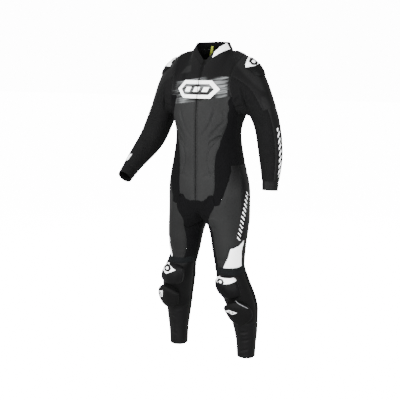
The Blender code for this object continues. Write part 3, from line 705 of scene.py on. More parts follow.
open_edges = {node: panel.data.copy() for node, panel in panels.items()
              if SLOT_OF[node].startswith("leather")}
for node, panel in panels.items():
    thicken(panel, CLOTH_THICKNESS[SLOT_OF[node].split("_")[0]])
    smooth(panel)
print("cloth triangles:", 2 * sum(len(p.data.polygons) for p in panels.values()))

# %% [markdown]
# ## Stitching
# Every leather panel is top-stitched: one row of thread runs just inside its edge. A stitch is modelled once,
# as a small pointed bead, and then set down again and again along a line: its length follows the line and
# its height follows the surface. All the stitches of one thread are one mesh.

# %% Stitch and bead tools
STITCH_LENGTH, STITCH_WIDTH, STITCH_HEIGHT = 0.0030, 0.0009, 0.0007
STITCH_PITCH, STITCH_INSET = 0.0042, 0.0026
LONGEST_STEP = 0.02     # a longer one leaps from one edge to another


def bead(name, length, width, height, segments=6, rings=4):
    """A small ball drawn out along X."""
    bpy.ops.mesh.primitive_uv_sphere_add(segments=segments, ring_count=rings, radius=0.5,
                                         rotation=(0, math.pi / 2, 0))
    ball = bpy.context.object
    ball.name = name
    ball.scale = (height, width, length)
    bpy.ops.object.transform_apply(rotation=True, scale=True)
    return ball


def set_down(pattern, places, name):
    """One mesh of the pattern at every place; a place is a centre, a direction and an upward normal."""
    shape = points_of(pattern.data)
    faces = [tuple(polygon.vertices) for polygon in pattern.data.polygons]
    points, all_faces = [], []
    for number, (centre, along_x, up_z) in enumerate(places):
        along_x = (along_x - up_z * along_x.dot(up_z)).normalized()
        frame_axes = np.array([along_x, up_z.cross(along_x), up_z])
        points.append(shape @ frame_axes + np.array(centre))
        all_faces.extend(tuple(number * len(shape) + corner for corner in face) for face in faces)
    mesh = bpy.data.meshes.new(name)
    mesh.from_pydata(np.concatenate(points).tolist(), [], all_faces)
    obj = bpy.data.objects.new(name, mesh)
    bpy.context.scene.collection.objects.link(obj)
    return obj


def edge_loops(mesh):
    """The open edges of a sheet as loops of corners, each with the way into the sheet."""
    shape = bmesh.new()
    shape.from_mesh(mesh)
    waiting = {vert for vert in shape.verts if vert.is_boundary}
    loops = []
    while waiting:
        vert = min(waiting, key=lambda v: v.index)
        loop = []
        while vert is not None:
            waiting.discard(vert)
            loop.append((vert.co.copy(), sum(inward_edges(vert), Vector())))
            nexts = [edge.other_vert(vert) for edge in vert.link_edges if edge.is_boundary]
            vert = next((other for other in nexts if other in waiting), None)
        loops.append(loop)
    shape.free()
    return loops


def stitch_places(mesh):
    """Places for a row of stitches just inside each open edge of a sheet."""
    tree = BVHTree.FromPolygons([v.co for v in mesh.vertices], [tuple(p.vertices) for p in mesh.polygons])
    places = []
    for loop in edge_loops(mesh):
        travelled = 0.0
        for (start, way_in), (end, _) in zip(loop, loop[1:] + loop[:1]):
            run = end - start
            if way_in.length < SAME_POINT or not SAME_POINT <= run.length <= LONGEST_STEP:
                continue
            while travelled < run.length:
                edge_point = start + run * (travelled / run.length)
                aside = (way_in - run * way_in.dot(run) / run.length_squared).normalized()
                centre, normal, _, _ = tree.find_nearest(edge_point + aside * STITCH_INSET)
                places.append((centre, run, normal))
                travelled += STITCH_PITCH
            travelled -= run.length
    return places


print("stitch:", STITCH_LENGTH, "every", STITCH_PITCH)

# %% Rows of stitches
THREAD_OF = {"leather_black": "thread_black", "leather_charcoal": "thread_dark",
             "leather_white": "thread_grey"}
stitch = bead("stitch", STITCH_LENGTH, STITCH_WIDTH, STITCH_HEIGHT)
rows_of_thread = {}
for node, mesh in open_edges.items():
    rows_of_thread.setdefault(THREAD_OF[SLOT_OF[node]], []).extend(stitch_places(mesh))
stitches = {name: set_down(stitch, places, name) for name, places in rows_of_thread.items()}
bpy.data.objects.remove(stitch)
for name, places in rows_of_thread.items():
    print(name, "stitches:", len(places))

# %% [markdown]
# ## Zip teeth
# The zip is closed. Its moulded teeth stand in two rows that mesh, so a tooth of one row sits between two of
# the other. One tooth is a small bevelled block. The line of the zip is found on the suit itself, by looking
# at it from the front at one height after another.

# %% Teeth
TOOTH_PITCH, TOOTH_ASIDE, TOOTH_LIFT = 0.0030, 0.0009, 0.0002
TOOTH_SIZE, TOOTH_BEVEL = (0.0024, 0.0017, 0.0015), 0.0003
ABOVE_FIRST, BELOW_LAST = 0.004, 0.006      # bare tape at the ends of the zip
IN_FRONT, STEEPEST = 0.5, 0.3


def zip_line(low_z, high_z, pitch):
    """Points down the middle of the zip at an even pitch, each with the surface normal there."""
    tree = BVHTree.FromObject(panels["zip"], bpy.context.evaluated_depsgraph_get())
    line, up = [], high_z
    while up > low_z:
        spot, normal, _, _ = tree.ray_cast(Vector((0, -IN_FRONT, up)), Vector((0, 1, 0)))
        if spot is not None:
            line.append((spot, normal))
        slope = 1.0 if spot is None else max(STEEPEST, math.hypot(normal.x, normal.y))
        up -= pitch * slope
    return line


bpy.ops.mesh.primitive_cube_add(size=1)
tooth = bpy.context.object
tooth.scale = TOOTH_SIZE
bpy.ops.object.transform_apply(scale=True)
edit_all(tooth)
bpy.ops.mesh.bevel(offset=TOOTH_BEVEL, segments=1)
leave_edit()
zip_low, zip_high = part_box("zip")
middles = zip_line(zip_low.z + BELOW_LAST, zip_high.z - ABOVE_FIRST, TOOTH_PITCH / 2)
tooth_places = []
for number, (spot, normal) in enumerate(middles):
    across = Vector((1 if number % 2 else -1, 0, 0))
    tooth_places.append((spot + across * TOOTH_ASIDE + normal * TOOTH_LIFT, across, normal))
teeth = set_down(tooth, tooth_places, "zip_teeth")
bpy.data.objects.remove(tooth)
print("teeth:", len(tooth_places))

# %% [markdown]
# ## Moulded and bound pieces
# The collar, its loop, the cups and the pucks start from the frame's own solids. Their triangles become quads
# again, their rims are bevelled, and a subdivision rounds them. A moulded piece has no square corners, so the
# armour is also drawn from a square outline towards a round one, by the rule that maps a square on a disc.

# %% Solid pieces
RIM_BEVEL = {"collar": 0.0007, "shoulder": 0.0016, "knee": 0.0022, "hanger": 0.0004}
FORM_LEVELS = 2


def rounded_copy(node, bevel, levels):
    obj = copy_mesh(frame["nodes"][node].data, node + "_form")
    edit_all(obj)
    merge_into_quads(SAME_POINT)
    leave_edit()
    apply_modifier(obj, "BEVEL", width=bevel, segments=2, limit_method="ANGLE",
                   angle_limit=SMOOTH_LIMIT, harden_normals=False)
    push_out(obj, levels)
    apply_modifier(obj, "SUBSURF", levels=levels, render_levels=levels)
    smooth(obj)
    return obj


ROUND_SHARE = {"shoulder_cup": 0.45, "knee_cup": 0.55, "knee_slider": 0.9}


def round_outline(obj, share):
    """Draws the corners of a squarish shell in; its own flat axes are found from its points."""
    points = points_of(obj.data)
    middle = (points.max(axis=0) + points.min(axis=0)) / 2
    axes = np.linalg.svd(points - points.mean(axis=0), full_matrices=False)[2][:2]
    # The first two axes may lie along the diagonals, so they are turned level and upright in their plane.
    through = np.cross(axes[0], axes[1])
    level = np.cross((0, 0, 1), through)
    level /= np.linalg.norm(level)
    upright = np.cross(through, level)
    a, b = (points - middle) @ level, (points - middle) @ upright
    half_a, half_b = np.abs(a).max(), np.abs(b).max()
    round_a = a * np.sqrt(1 - (b / half_b) ** 2 / 2)
    round_b = b * np.sqrt(1 - (a / half_a) ** 2 / 2)
    move = (round_a - a)[:, None] * level + (round_b - b)[:, None] * upright
    place_points(obj.data, points + share * move)


solids = {}
for node in COLLAR_NODES + ARMOUR_NODES + ["hanger_loop"]:
    solids[node] = rounded_copy(node, RIM_BEVEL[node.split("_")[0]], FORM_LEVELS)
    if node in ARMOUR_NODES:
        round_outline(solids[node], ROUND_SHARE[node[:-2]])
print("solid pieces:", len(solids))

# %% [markdown]
# ## Materials
# All leathers share one grain and all fabrics share one weave. Each is a node group: it takes a tone and
# gives back a colour, a roughness and a normal, and the shader stays in the material. The patterns follow
# the object's own coordinates in metres, so a scale of 500 means a grain of 2 mm.

# %% Node tools
def feed(tree, socket, value):
    """Links an input socket to an output, or sets it to a plain value."""
    if isinstance(value, bpy.types.NodeSocket):
        tree.links.new(value, socket)
    else:
        socket.default_value = value


def add_node(tree, kind, **inputs):
    """A new node with some of its input sockets fed, by name or as _0, _1 by number."""
    node = tree.nodes.new("ShaderNode" + kind)
    for name, value in inputs.items():
        numbered = name[1:].isdigit()
        feed(tree, node.inputs[int(name[1:]) if numbered else name.replace("_", " ")], value)
    return node


def calculate(tree, operation, first, second=0.0, third=0.0):
    node = add_node(tree, "Math", _0=first, _1=second, _2=third)
    node.operation = operation
    return node.outputs[0]


def blend(tree, share, first, second, operation="MIX"):
    """Mixes two colours by a share."""
    node = tree.nodes.new("ShaderNodeMix")
    node.data_type = "RGBA"
    node.blend_type = operation
    for number, value in ((0, share), (6, first), (7, second)):
        feed(tree, node.inputs[number], value)
    return node.outputs[2]


def new_group(name, inputs, outputs):
    """An empty node group with named sockets, and its input and output nodes."""
    group = bpy.data.node_groups.new(name, "ShaderNodeTree")
    for direction, sockets in (("INPUT", inputs), ("OUTPUT", outputs)):
        for socket_name, kind in sockets.items():
            group.interface.new_socket(socket_name, in_out=direction, socket_type="NodeSocket" + kind)
    return group, group.nodes.new("NodeGroupInput"), group.nodes.new("NodeGroupOutput")


def use_group(tree, group, **inputs):
    node = tree.nodes.new("ShaderNodeGroup")
    node.node_tree = group
    for name, value in inputs.items():
        feed(tree, node.inputs[name.replace("_", " ")], value)
    return node


print("node tools ready")

# %% Leather grain
# Small cells for the grain, a wider noise for soft rumples, and a slow change of tone and polish.
# A change is what the noise adds at its most, and the value where there is none.
TONE_CHANGE, POLISH_CHANGE = (0.5, 0.75), (-0.16, 0.08)
leather, given, gives = new_group("leather grain",
                                  {"Color": "Color", "Roughness": "Float", "Relief": "Float"},
                                  {"Color": "Color", "Roughness": "Float", "Normal": "Vector"})
place = add_node(leather, "TexCoord").outputs["Object"]
cells = add_node(leather, "TexVoronoi", Vector=place, Scale=520.0)
cells.feature = "DISTANCE_TO_EDGE"
rumples = add_node(leather, "TexNoise", Vector=place, Scale=46.0, Detail=3.0, Roughness=0.55)
patches = add_node(leather, "TexNoise", Vector=place, Scale=9.0, Detail=2.0)
pores = add_node(leather, "Bump", Height=cells.outputs["Distance"], Strength=0.12, Distance=0.0005)
relief = add_node(leather, "Bump", Height=rumples.outputs["Fac"], Strength=given.outputs["Relief"],
                  Distance=0.004, Normal=pores.outputs["Normal"])
uneven = calculate(leather, "MULTIPLY_ADD", patches.outputs["Fac"], *TONE_CHANGE)
toned = blend(leather, 1.0, given.outputs["Color"], uneven, "MULTIPLY")
polish = calculate(leather, "MULTIPLY_ADD", patches.outputs["Fac"], *POLISH_CHANGE)
rougher = calculate(leather, "ADD", given.outputs["Roughness"], polish)
leather.links.new(toned, gives.inputs["Color"])
leather.links.new(rougher, gives.inputs["Roughness"])
leather.links.new(relief.outputs["Normal"], gives.inputs["Normal"])
print("group:", leather.name)

# %% Fabric weave
FUZZ_CHANGE = (0.4, 0.8)
weave, given, gives = new_group("fabric weave", {"Color": "Color"}, {"Color": "Color", "Normal": "Vector"})
place = add_node(weave, "TexCoord").outputs["Object"]
rows = add_node(weave, "TexWave", Vector=place, Scale=260.0, Distortion=1.5)
rows.bands_direction = "Z"
threads = add_node(weave, "Bump", Height=rows.outputs["Fac"], Strength=0.35, Distance=0.0008)
fuzz = add_node(weave, "TexNoise", Vector=place, Scale=30.0, Detail=4.0)
uneven = calculate(weave, "MULTIPLY_ADD", fuzz.outputs["Fac"], *FUZZ_CHANGE)
weave.links.new(blend(weave, 1.0, given.outputs["Color"], uneven, "MULTIPLY"), gives.inputs["Color"])
weave.links.new(threads.outputs["Normal"], gives.inputs["Normal"])
print("group:", weave.name)

# %% [markdown]
# ## Printed marks
# A mark is flat paint on leather or on a cup, so it is a mask and not a mesh. Its outline is drawn on an
# upright plane that faces a given way: across is measured along the plane and up is height. Each edge of a
# convex outline is a line, and a point is inside where it lies on the inner side of all of them. A mask
# maker is a function of the node tree, so that one design can be placed in several materials.

# %% Mark masks
EDGE_SOFTNESS = 0.0005


def outline(*corners):
    """The corners of an outline, given in millimetres and anticlockwise, in metres."""
    return [(across / 1000, up / 1000) for across, up in corners]


def plane_place(tree, facing, mirrored=False, drop=0.0):
    """Across and up on an upright plane; facing is degrees from the front towards the wearer's left."""
    split = add_node(tree, "SeparateXYZ", Vector=add_node(tree, "TexCoord").outputs["Object"])
    turn = math.radians(facing)
    along_x = -math.cos(turn) if mirrored else math.cos(turn)
    sideways = calculate(tree, "MULTIPLY", split.outputs["X"], along_x)
    across = calculate(tree, "MULTIPLY_ADD", split.outputs["Y"], math.sin(turn), sideways)
    return across, calculate(tree, "ADD", split.outputs["Z"], drop)


def inside_outline(tree, across, up, corners, softness=EDGE_SOFTNESS):
    """One where the point is inside a convex outline."""
    mask = None
    for (x0, y0), (x1, y1) in zip(corners, corners[1:] + corners[:1]):
        length = math.hypot(x1 - x0, y1 - y0)
        a, b = -(y1 - y0) / length, (x1 - x0) / length
        depth = calculate(tree, "MULTIPLY_ADD", across, a, -(a * x0 + b * y0))
        depth = calculate(tree, "MULTIPLY_ADD", up, b, depth)
        share = add_node(tree, "MapRange", Value=depth, From_Min=-softness, From_Max=softness)
        share = share.outputs["Result"]
        mask = share if mask is None else calculate(tree, "MINIMUM", mask, share)
    return mask


def paint(facing, outlines, holes=(), softness=EDGE_SOFTNESS, **where):
    """A mask maker: inside any of the outlines and outside all of the holes."""
    def make(tree):
        across, up = plane_place(tree, facing, **where)
        mask = inside_outline(tree, across, up, outlines[0], softness)
        for corners in outlines[1:]:
            mask = calculate(tree, "MAXIMUM", mask, inside_outline(tree, across, up, corners, softness))
        for hole in holes:
            mask = calculate(tree, "SUBTRACT", mask, inside_outline(tree, across, up, hole, softness))
        return calculate(tree, "MAXIMUM", mask, 0.0)
    return make


def bar_row(facing, band, pitch, filled, slant, **where):
    """A mask maker: slanted bars that fill a share of each pitch along a band."""
    def make(tree):
        across, up = plane_place(tree, facing, **where)
        height = calculate(tree, "MULTIPLY_ADD", across, slant, up)
        phase = calculate(tree, "FRACT", calculate(tree, "DIVIDE", height, pitch))
        bars = calculate(tree, "LESS_THAN", phase, filled)
        return calculate(tree, "MULTIPLY", bars, inside_outline(tree, across, up, band))
    return make


def both(*makers):
    """A mask maker: inside every one of these masks."""
    def make(tree):
        mask = makers[0](tree)
        for maker in makers[1:]:
            mask = calculate(tree, "MULTIPLY", mask, maker(tree))
        return mask
    return make


def fade_up(start, end):
    """A mask maker: nothing below the start, all above the end, by height."""
    def make(tree):
        up = plane_place(tree, 0)[1]
        return add_node(tree, "MapRange", Value=up, From_Min=start, From_Max=end).outputs["Result"]
    return make


print("mark tools ready")

# %% [markdown]
# ## The chest print
# A broad band of dry brush strokes crosses the chest, and a plain six-sided ring with three blocks lies over
# it in white. The strokes are noise drawn out sideways. They are used by the leather of the chest and the
# front and by the zip, so they are a group.

# %% Brush strokes
STROKE_GREY = (0.125, 0.130, 0.132, 1)
STROKE_FIELD = outline((-125, -190), (20, -172), (120, -152), (120, -78), (60, -74), (-112, -100))
STROKE_TILT = -0.16
STROKES_PER_METRE = {"X": 9.0, "Z": 120.0}
RAGGED_ENDS, ENDS_PER_METRE = 0.09, 210.0
LOAD_PATCHES = 14.0
brush_strokes, given, gives = new_group("brush strokes", {"Color": "Color"}, {"Color": "Color"})
across, up = plane_place(brush_strokes, 0)
tilted = calculate(brush_strokes, "MULTIPLY_ADD", across, STROKE_TILT, up)
stroke_place = add_node(brush_strokes, "CombineXYZ",
                        X=calculate(brush_strokes, "MULTIPLY", across, STROKES_PER_METRE["X"]),
                        Z=calculate(brush_strokes, "MULTIPLY", tilted, STROKES_PER_METRE["Z"]))
strokes = add_node(brush_strokes, "TexNoise", Vector=stroke_place.outputs[0], Scale=1.0, Detail=4.0)
end_place = add_node(brush_strokes, "CombineXYZ",
                     Z=calculate(brush_strokes, "MULTIPLY", tilted, ENDS_PER_METRE))
ends = add_node(brush_strokes, "TexNoise", Vector=end_place.outputs[0], Scale=1.0, Detail=2.0)
shifted = calculate(brush_strokes, "MULTIPLY_ADD", ends.outputs["Fac"], RAGGED_ENDS, across)
centred = calculate(brush_strokes, "SUBTRACT", shifted, RAGGED_ENDS / 2)
field = inside_outline(brush_strokes, centred, up, STROKE_FIELD)
grey = add_node(brush_strokes, "MapRange", Value=strokes.outputs["Fac"], From_Min=0.40, From_Max=0.62)
solid_place = add_node(brush_strokes, "TexCoord").outputs["Object"]
thick = add_node(brush_strokes, "TexNoise", Vector=solid_place, Scale=LOAD_PATCHES, Detail=1.0)
loaded = add_node(brush_strokes, "MapRange", Value=thick.outputs["Fac"], From_Min=0.32, From_Max=0.54)
share = calculate(brush_strokes, "MULTIPLY", grey.outputs["Result"], loaded.outputs["Result"])
share = calculate(brush_strokes, "MULTIPLY", share, field)
painted = blend(brush_strokes, share, given.outputs["Color"], STROKE_GREY)
brush_strokes.links.new(painted, gives.inputs["Color"])
print("group:", brush_strokes.name)

# %% Tones
#   slot               tone (red, green, blue)   roughness  gloss
TONES = {
    "leather_black": ((0.0020, 0.0020, 0.0021), 0.60, 0.07),
    "leather_charcoal": ((0.0078, 0.0080, 0.0080), 0.65, 0.08),
    "leather_white": ((0.90, 0.91, 0.92), 0.50, 0.30),
    "stretch_black": ((0.0016, 0.0016, 0.0018), 0.90, 0.05),
    "stretch_ribbed": ((0.0028, 0.0033, 0.0036), 0.80, 0.06),
    "cup_black": ((0.0014, 0.0014, 0.0015), 0.55, 0.06),
    "slider_black": ((0.0018, 0.0018, 0.0018), 0.65, 0.06),
    "zip_black": ((0.0022, 0.0022, 0.0022), 0.80, 0.06),
    "loop_yellow": ((0.22, 0.26, 0.03), 0.70, 0.20),
}
RELIEF = {"leather": 0.14, "cup": 0.03, "slider": 0.05}
# The middle one of these three colours paints sheen: the grey round the shoulder cups and on the leaf below
# them is a painted sheen.
PRINT_WHITE, PAINTED_SHEEN_GREY, BLACK = (0.90, 0.91, 0.92, 1), (0.0044, 0.0044, 0.0045, 1), (0.0016, 0.0016, 0.0017, 1)


def new_material(name):
    material = bpy.data.materials.new(name)
    material.use_nodes = True
    return material


def surface(tree, colour, rough, gloss, relief=None):
    """Ends a material's tree with the leather grain, or with the weave where no relief is given."""
    shader = tree.nodes["Principled BSDF"]
    shader.inputs["Specular IOR Level"].default_value = gloss
    if relief is None:
        look = use_group(tree, weave, Color=colour)
        shader.inputs["Roughness"].default_value = rough
    else:
        look = use_group(tree, leather, Color=colour, Roughness=rough, Relief=relief)
        tree.links.new(look.outputs["Roughness"], shader.inputs["Roughness"])
    tree.links.new(look.outputs["Color"], shader.inputs["Base Color"])
    tree.links.new(look.outputs["Normal"], shader.inputs["Normal"])


def finish(slot, name=None, layers=(), strokes_below=False, tone=None):
    """The material of a slot; each layer is a mask maker and the colour that it paints."""
    slot_tone, rough, gloss = TONES[slot]
    material = new_material(name or slot)
    tree = material.node_tree
    colour = (*(tone or slot_tone), 1)
    if strokes_below:
        colour = use_group(tree, brush_strokes, Color=colour).outputs["Color"]
    for make_mask, painted in layers:
        colour = blend(tree, make_mask(tree), colour, painted)
    surface(tree, colour, rough, gloss, RELIEF.get(slot.split("_")[0]))
    return material


materials = {slot: finish(slot) for slot in TONES}
print("plain finishes:", len(materials))

# %% Prints on the chest
RING_OUT = outline((-104, -127), (-70, -163), (56, -163), (90, -127), (56, -92), (-70, -92))
RING_IN = outline((-83, -127), (-62, -149), (48, -149), (69, -127), (48, -106), (-62, -106))
BLOCK_STARTS = (-62, -22, 18)
BLOCKS = [outline((x, -137), (x + 24, -137), (x + 32, -118), (x + 8, -118)) for x in BLOCK_STARTS]
# The soft grey patch on the wearer's right chest is a painted sheen, and the black leather of that chest is
# darker than the left's: painted shade.
CHEST_SHEEN_OUTLINE = outline((-106, -66), (-68, -62), (-48, -56), (-54, -33), (-88, -37))
ZIP_TAPE = outline((-20, -700), (20, -700), (20, -170), (-20, -170))
CHEST_SHEEN_GREY, TAPE_GREY = (0.0060, 0.0060, 0.0061, 1), (0.0095, 0.0097, 0.0097, 1)
CHEST_RIGHT_SHADED_TONE = (0.0014, 0.0014, 0.0015)
CHEST_SHEEN_SOFTNESS = 0.003
ring = (paint(0, [RING_OUT], [RING_IN]), PRINT_WHITE)
blocks = (paint(0, BLOCKS), PRINT_WHITE)
chest_sheen = (paint(0, [CHEST_SHEEN_OUTLINE], softness=CHEST_SHEEN_SOFTNESS), CHEST_SHEEN_GREY)
tape = (paint(0, [ZIP_TAPE]), TAPE_GREY)
special = {
    "chest_L": finish("leather_black", "chest_print", [ring, blocks], strokes_below=True),
    # The wearer's right chest carries the painted sheen and is painted darker as shade, under the print.
    "chest_R": finish("leather_black", "chest_print_right", [chest_sheen, ring, blocks], strokes_below=True,
                      tone=CHEST_RIGHT_SHADED_TONE),
    "front_L": finish("leather_charcoal", "front_print", [ring, blocks], strokes_below=True),
    "zip": finish("zip_black", "zip_print", [tape, ring, blocks], strokes_below=True),
}
special["front_R"] = special["front_L"]
print("prints:", len(special))

# %% [markdown]
# ## Prints on the limbs
# The side of each thigh and the outside of each sleeve carry a row of slanted white bars. Round a shoulder
# cup, and on a small leaf below it, the black leather is painted charcoal grey with soft edges: a painted
# sheen.
# The charcoal of a thigh fades into black towards the hip. The cups and pucks have white plates, each with a
# six-sided ring cut in it and a block left inside the ring. The two knees are turned differently, so each has
# outlines of its own. A thin grey line crosses the left puck, and the right forearm has a small white mark.

# %% Outlines on the limbs
#   degrees from the front that each kind of mark faces
SIDE_ON, LEAF_ON, SHOULDER_ON, CUP_ON, KNEE_ON, LINE_ON, PUCK_ON, FOREARM_ON = 80, 50, 35, 40, 10, 30, 5, -30
#   pitch, filled share, slant
THIGH_BARS, SLEEVE_BARS = (0.022, 0.34, 1.1), (0.020, 0.45, -1.0)
THIGH_BAND = outline((-36, -742), (-16, -748), (37, -552), (17, -546))
SLEEVE_BANDS = {"L": outline((18, -470), (34, -472), (64, -280), (50, -276)),
                "R": outline((-48, -430), (-30, -436), (62, -282), (46, -276))}
# Round each shoulder cup and on a small leaf below it, the black leather is painted lighter with soft edges:
# a painted sheen.
SHOULDER_SHEEN = outline((96, -44), (130, -76), (168, -124), (206, -134), (196, -110), (150, 20), (94, 10))
SLEEVE_LEAF_SHEEN = outline((141, -185), (155, -216), (172, -224), (177, -189), (158, -154), (139, -157))
SHOULDER_PLATE = outline((116, -36), (130, -47), (158, -34), (186, -30), (182, 6), (140, 6))
KNEE_PLATES = {"L": outline((62, -916), (94, -934), (132, -920), (160, -916), (156, -900), (66, -900)),
               "R": outline((82, -920), (127, -941), (152, -926), (158, -895), (140, -890), (108, -903))}
PUCK_PLATES = {"L": outline((114, -1052), (148, -1062), (170, -1050), (136, -1042)),
               "R": outline((170, -1027), (180, -1061), (197, -1066), (196, -1036))}
PUCK_LINE = outline((100, -998), (156, -1032), (157, -1030.7), (101, -996.7))
FOREARM_MARK = outline((-221, -434), (-209, -430), (-214, -408), (-226, -410))
OUTER_ARM = outline((-400, -600), (-300, -600), (-300, -300), (-400, -300))
#   middle across, middle up, half width, half height
SHOULDER_RING = (0.156, -0.017, 0.021, 0.014)
KNEE_RINGS = {"L": (0.091, -0.9165, 0.020, 0.0115), "R": (0.123, -0.915, 0.023, 0.015)}
PUCK_RINGS = {"L": (0.143, -1.0525, 0.016, 0.0050), "R": (0.187, -1.049, 0.007, 0.011)}
BLOCK_SHARE = 0.40
SHOULDER_SOFTNESS, LEAF_SOFTNESS = 0.006, 0.004
HIP_FADE = (-0.540, -0.440)
print("outlines ready; pucks at", [corners[0] for corners in PUCK_PLATES.values()])

# %% Tones of the limbs, with painted light and shade
LINE_GREY = (0.20, 0.20, 0.21, 1)
# The same leather, cups and stretch take a different tone on each side, set by how light falls there: painted
# light and painted shade. The sleeves' stretch is painted lighter than the flank's in the same way.
SHOULDER_LIGHT_TONES = {"L": (0.0015, 0.0015, 0.0016), "R": (0.0020, 0.0020, 0.0021)}
THIGH_LIGHT_TONES = {"L": (0.0068, 0.0070, 0.0070), "R": (0.0052, 0.0053, 0.0053)}
CUP_LIGHT_TONES = {"L": (0.0010, 0.0010, 0.0011), "R": (0.0022, 0.0022, 0.0023)}
SLEEVE_LIGHT_TONES = {"L": (0.0031, 0.0031, 0.0032), "R": (0.0036, 0.0036, 0.0037)}
# The leather at the front of each knee, between the cup and the puck, is painted darker: painted shade.
KNEE_SHADE_TONE = (0.0011, 0.0011, 0.0011)
print("thigh tones:", THIGH_LIGHT_TONES["L"][0], THIGH_LIGHT_TONES["R"][0])


# %% Ring plates
def ring_plate(facing, plate, ring_place, **where):
    """Layers for a white plate with a six-sided ring cut in it and a block left inside the ring."""
    x, y, half_width, half_height = ring_place

    def six_sided(share):
        w, h = half_width * share, half_height * share
        return [(x - w, y), (x - w / 2, y - h), (x + w / 2, y - h),
                (x + w, y), (x + w / 2, y + h), (x - w / 2, y + h)]

    return [(paint(facing, [plate], [six_sided(1)], **where), PRINT_WHITE),
            (paint(facing, [six_sided(BLOCK_SHARE)], **where), PRINT_WHITE)]


puck_lines = {"L": [(paint(LINE_ON, [PUCK_LINE]), LINE_GREY)], "R": []}
print("plates with a ring: shoulders, knees and pucks")

# %% Finishes of the limbs
# Thighs, shoulders, knee cups and sleeves take their side's tone of painted light and shade.
for side, mirrored in (("L", False), ("R", True)):
    drop = -LEFT_KNEE_DROP if mirrored else 0.0
    at_side, at_knee = {"mirrored": mirrored}, {"mirrored": mirrored, "drop": drop}
    thigh_bars = (bar_row(SIDE_ON, THIGH_BAND, *THIGH_BARS, **at_side), PRINT_WHITE)
    sleeve_bars = (bar_row(SIDE_ON, SLEEVE_BANDS[side], *SLEEVE_BARS, **at_side), PRINT_WHITE)
    # The leaf and the grey round the cup are painted sheen on the black leather.
    leaf = (paint(LEAF_ON, [SLEEVE_LEAF_SHEEN], softness=LEAF_SOFTNESS, **at_side), PAINTED_SHEEN_GREY)
    round_cup_sheen = (paint(SHOULDER_ON, [SHOULDER_SHEEN], softness=SHOULDER_SOFTNESS, **at_side), PAINTED_SHEEN_GREY)
    shoulder_plate = ring_plate(CUP_ON, SHOULDER_PLATE, SHOULDER_RING, **at_side)
    knee_plate = ring_plate(KNEE_ON, KNEE_PLATES[side], KNEE_RINGS[side], **at_knee)
    puck_plate = ring_plate(PUCK_ON, PUCK_PLATES[side], PUCK_RINGS[side], **at_knee)
    special.update({
        "side_stripe_" + side: finish("leather_black", "side_print_" + side, [thigh_bars]),
        "thigh_" + side: finish("leather_charcoal", "thigh_print_" + side,
                                [(fade_up(*HIP_FADE), BLACK), thigh_bars], tone=THIGH_LIGHT_TONES[side]),
        "sleeve_outer_" + side: finish("leather_black", "sleeve_print_" + side, [leaf, sleeve_bars]),
        "shoulder_" + side: finish("leather_black", "shoulder_tone_" + side, [round_cup_sheen, leaf],
                                   tone=SHOULDER_LIGHT_TONES[side]),
        "shoulder_cup_" + side: finish("cup_black", "shoulder_plate_" + side, shoulder_plate),
        "knee_cup_" + side: finish("cup_black", "knee_plate_" + side, knee_plate, tone=CUP_LIGHT_TONES[side]),
        "knee_slider_" + side: finish("slider_black", "puck_print_" + side, puck_lines[side] + puck_plate),
    })
forearm_mark = (both(paint(FOREARM_ON, [FOREARM_MARK]), paint(0, [OUTER_ARM])), PRINT_WHITE)
# Each sleeve's stretch is painted lighter as light, with its own tone on each side.
special["sleeve_inner_L"] = finish("stretch_black", "sleeve_cloth", tone=SLEEVE_LIGHT_TONES["L"])
special["sleeve_inner_R"] = finish("stretch_black", "sleeve_cloth_right", [forearm_mark],
                                   tone=SLEEVE_LIGHT_TONES["R"])
# Painted shade: the knee leather below the cups is darkened.
special["knee_front_L"] = special["knee_front_R"] = finish("leather_black", "knee_leather", tone=KNEE_SHADE_TONE)
print("printed pieces:", len(special))

# %% [markdown]
# ## The collar's white band
# The left half of the collar has a white band on its outside, from a few centimetres beside the zip to the
# side of the neck. Its faces are sorted by the way they point: those that face away from the neck take the
# band's finish, and the finish itself ends the white where the band ends.

# %% Collar band
RIM_TURNS = 0.45
BAND_SPAN = outline((37, -100), (200, -100), (200, 100), (37, 100))
BAND_REACH = outline((-200, -100), (24, -100), (24, 100), (-200, 100))
FROM_SIDE = 90
NECK_AXIS = Vector((0, 0.015, 0))
collar_black = finish("leather_black", "collar_black")
collar_band = finish("leather_black", "collar_band", [
    (both(paint(0, [BAND_SPAN]), paint(FROM_SIDE, [BAND_REACH])), PRINT_WHITE)])
special["collar_L"] = collar_black


def face_outwards(obj, axis):
    """Numbers of the faces that point away from an upright axis."""
    found = []
    for polygon in obj.data.polygons:
        away = polygon.center - axis
        away.z = 0
        if polygon.normal.dot(away.normalized()) > RIM_TURNS:
            found.append(polygon.index)
    return found


band_faces = face_outwards(solids["collar_L"], NECK_AXIS)
print("faces of the band:", len(band_faces))

# %% Threads
THREAD_TONES = {"thread_black": (0.003, 0.003, 0.003), "thread_dark": (0.006, 0.006, 0.006),
                "thread_grey": (0.16, 0.16, 0.17)}
THREAD_ROUGHNESS, THREAD_GLOSS = 0.6, 0.15
thread_finishes = {name: new_material(name) for name in THREAD_TONES}
for name, tone in THREAD_TONES.items():
    surface(thread_finishes[name].node_tree, (*tone, 1), THREAD_ROUGHNESS, THREAD_GLOSS)
print("threads:", len(thread_finishes))

# %% [markdown]
# ## Joining the frame
# Every piece takes the finish of its slot or one of its own, rides on the suit's one body and takes the
# place of its plain node. Threads and teeth are extra pieces, so they replace nothing.

# %% Riding and slots
TOOTH_EDGE = math.radians(30)
for node, piece in list(panels.items()) + list(solids.items()):
    slot = SLOT_OF[node]
    piece.data.materials.append(special.get(node, materials[slot]))
    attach(piece, "root")
    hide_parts(node)
solids["collar_L"].data.materials.append(collar_band)
for number in band_faces:
    solids["collar_L"].data.polygons[number].material_index = 1
for name, piece in stitches.items():
    smooth(piece)
    piece.data.materials.append(thread_finishes[name])
    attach(piece, "root")
smooth(teeth, TOOTH_EDGE)
teeth.data.materials.append(finish("zip_black", "zip_teeth"))
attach(teeth, "root")
print("pieces:", len(panels) + len(solids) + len(stitches) + 1)
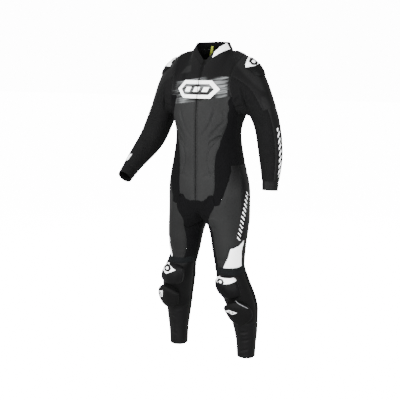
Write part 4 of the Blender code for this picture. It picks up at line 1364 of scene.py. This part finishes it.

# %% [markdown]
# ## Cut sizes
# The table gives, for each panel of cloth, the size of the flat piece that it was cut from: the smallest
# rectangle round the piece, and its area. Both sides are cut alike where one row serves both. Each piece's
# row is looked up, and nothing more is done with it.

# %% Cut sizes
#   piece              width  length area
CUTS = {
    "back": (0.345, 0.452, 0.1284), "lumbar": (0.088, 0.402, 0.0282), "groin": (0.170, 0.375, 0.0244),
    "zip": (0.012, 0.604, 0.0071), "chest": (0.149, 0.276, 0.0292), "front": (0.136, 0.442, 0.0360),
    "front_leaf": (0.043, 0.166, 0.0039), "flank": (0.219, 0.438, 0.0505), "seat": (0.239, 0.277, 0.0492),
    "collar": (0.040, 0.201, 0.0051), "collar_back": (0.037, 0.115, 0.0034),
    "hanger_loop": (0.010, 0.034, 0.00034), "shoulder": (0.229, 0.250, 0.0420),
    "sleeve_outer_L": (0.142, 0.303, 0.0353), "sleeve_outer_R": (0.160, 0.367, 0.0420),
    "sleeve_inner_L": (0.386, 0.410, 0.0831), "sleeve_inner_R": (0.383, 0.451, 0.0904),
    "cuff_L": (0.210, 0.036, 0.0070), "cuff_R": (0.203, 0.043, 0.0083),
    "thigh_L": (0.171, 0.423, 0.0389), "thigh_R": (0.172, 0.401, 0.0368),
    "side_stripe_L": (0.082, 0.433, 0.0260), "side_stripe_R": (0.082, 0.411, 0.0252),
    "hamstring_L": (0.184, 0.236, 0.0360), "hamstring_R": (0.164, 0.234, 0.0314),
    "inner_thigh_L": (0.124, 0.184, 0.0156), "inner_thigh_R": (0.125, 0.162, 0.0136),
    "knee_side_L": (0.107, 0.140, 0.0085), "knee_side_R": (0.107, 0.125, 0.0074),
    "knee_stretch": (0.047, 0.235, 0.0075), "knee_front": (0.222, 0.273, 0.0508),
    "knee_back": (0.234, 0.268, 0.0543), "shin_L": (0.170, 0.176, 0.0247), "shin_R": (0.172, 0.197, 0.0279),
    "calf_L": (0.173, 0.186, 0.0254), "calf_R": (0.186, 0.194, 0.0288),
}
cloth_pieces = {node: piece for node, piece in list(panels.items()) + list(solids.items())
                if node not in ARMOUR_NODES}
for node, piece in cloth_pieces.items():
    width, length, area = CUTS.get(node) or CUTS[node[:-2]]
print("sheets:", len(cloth_pieces))
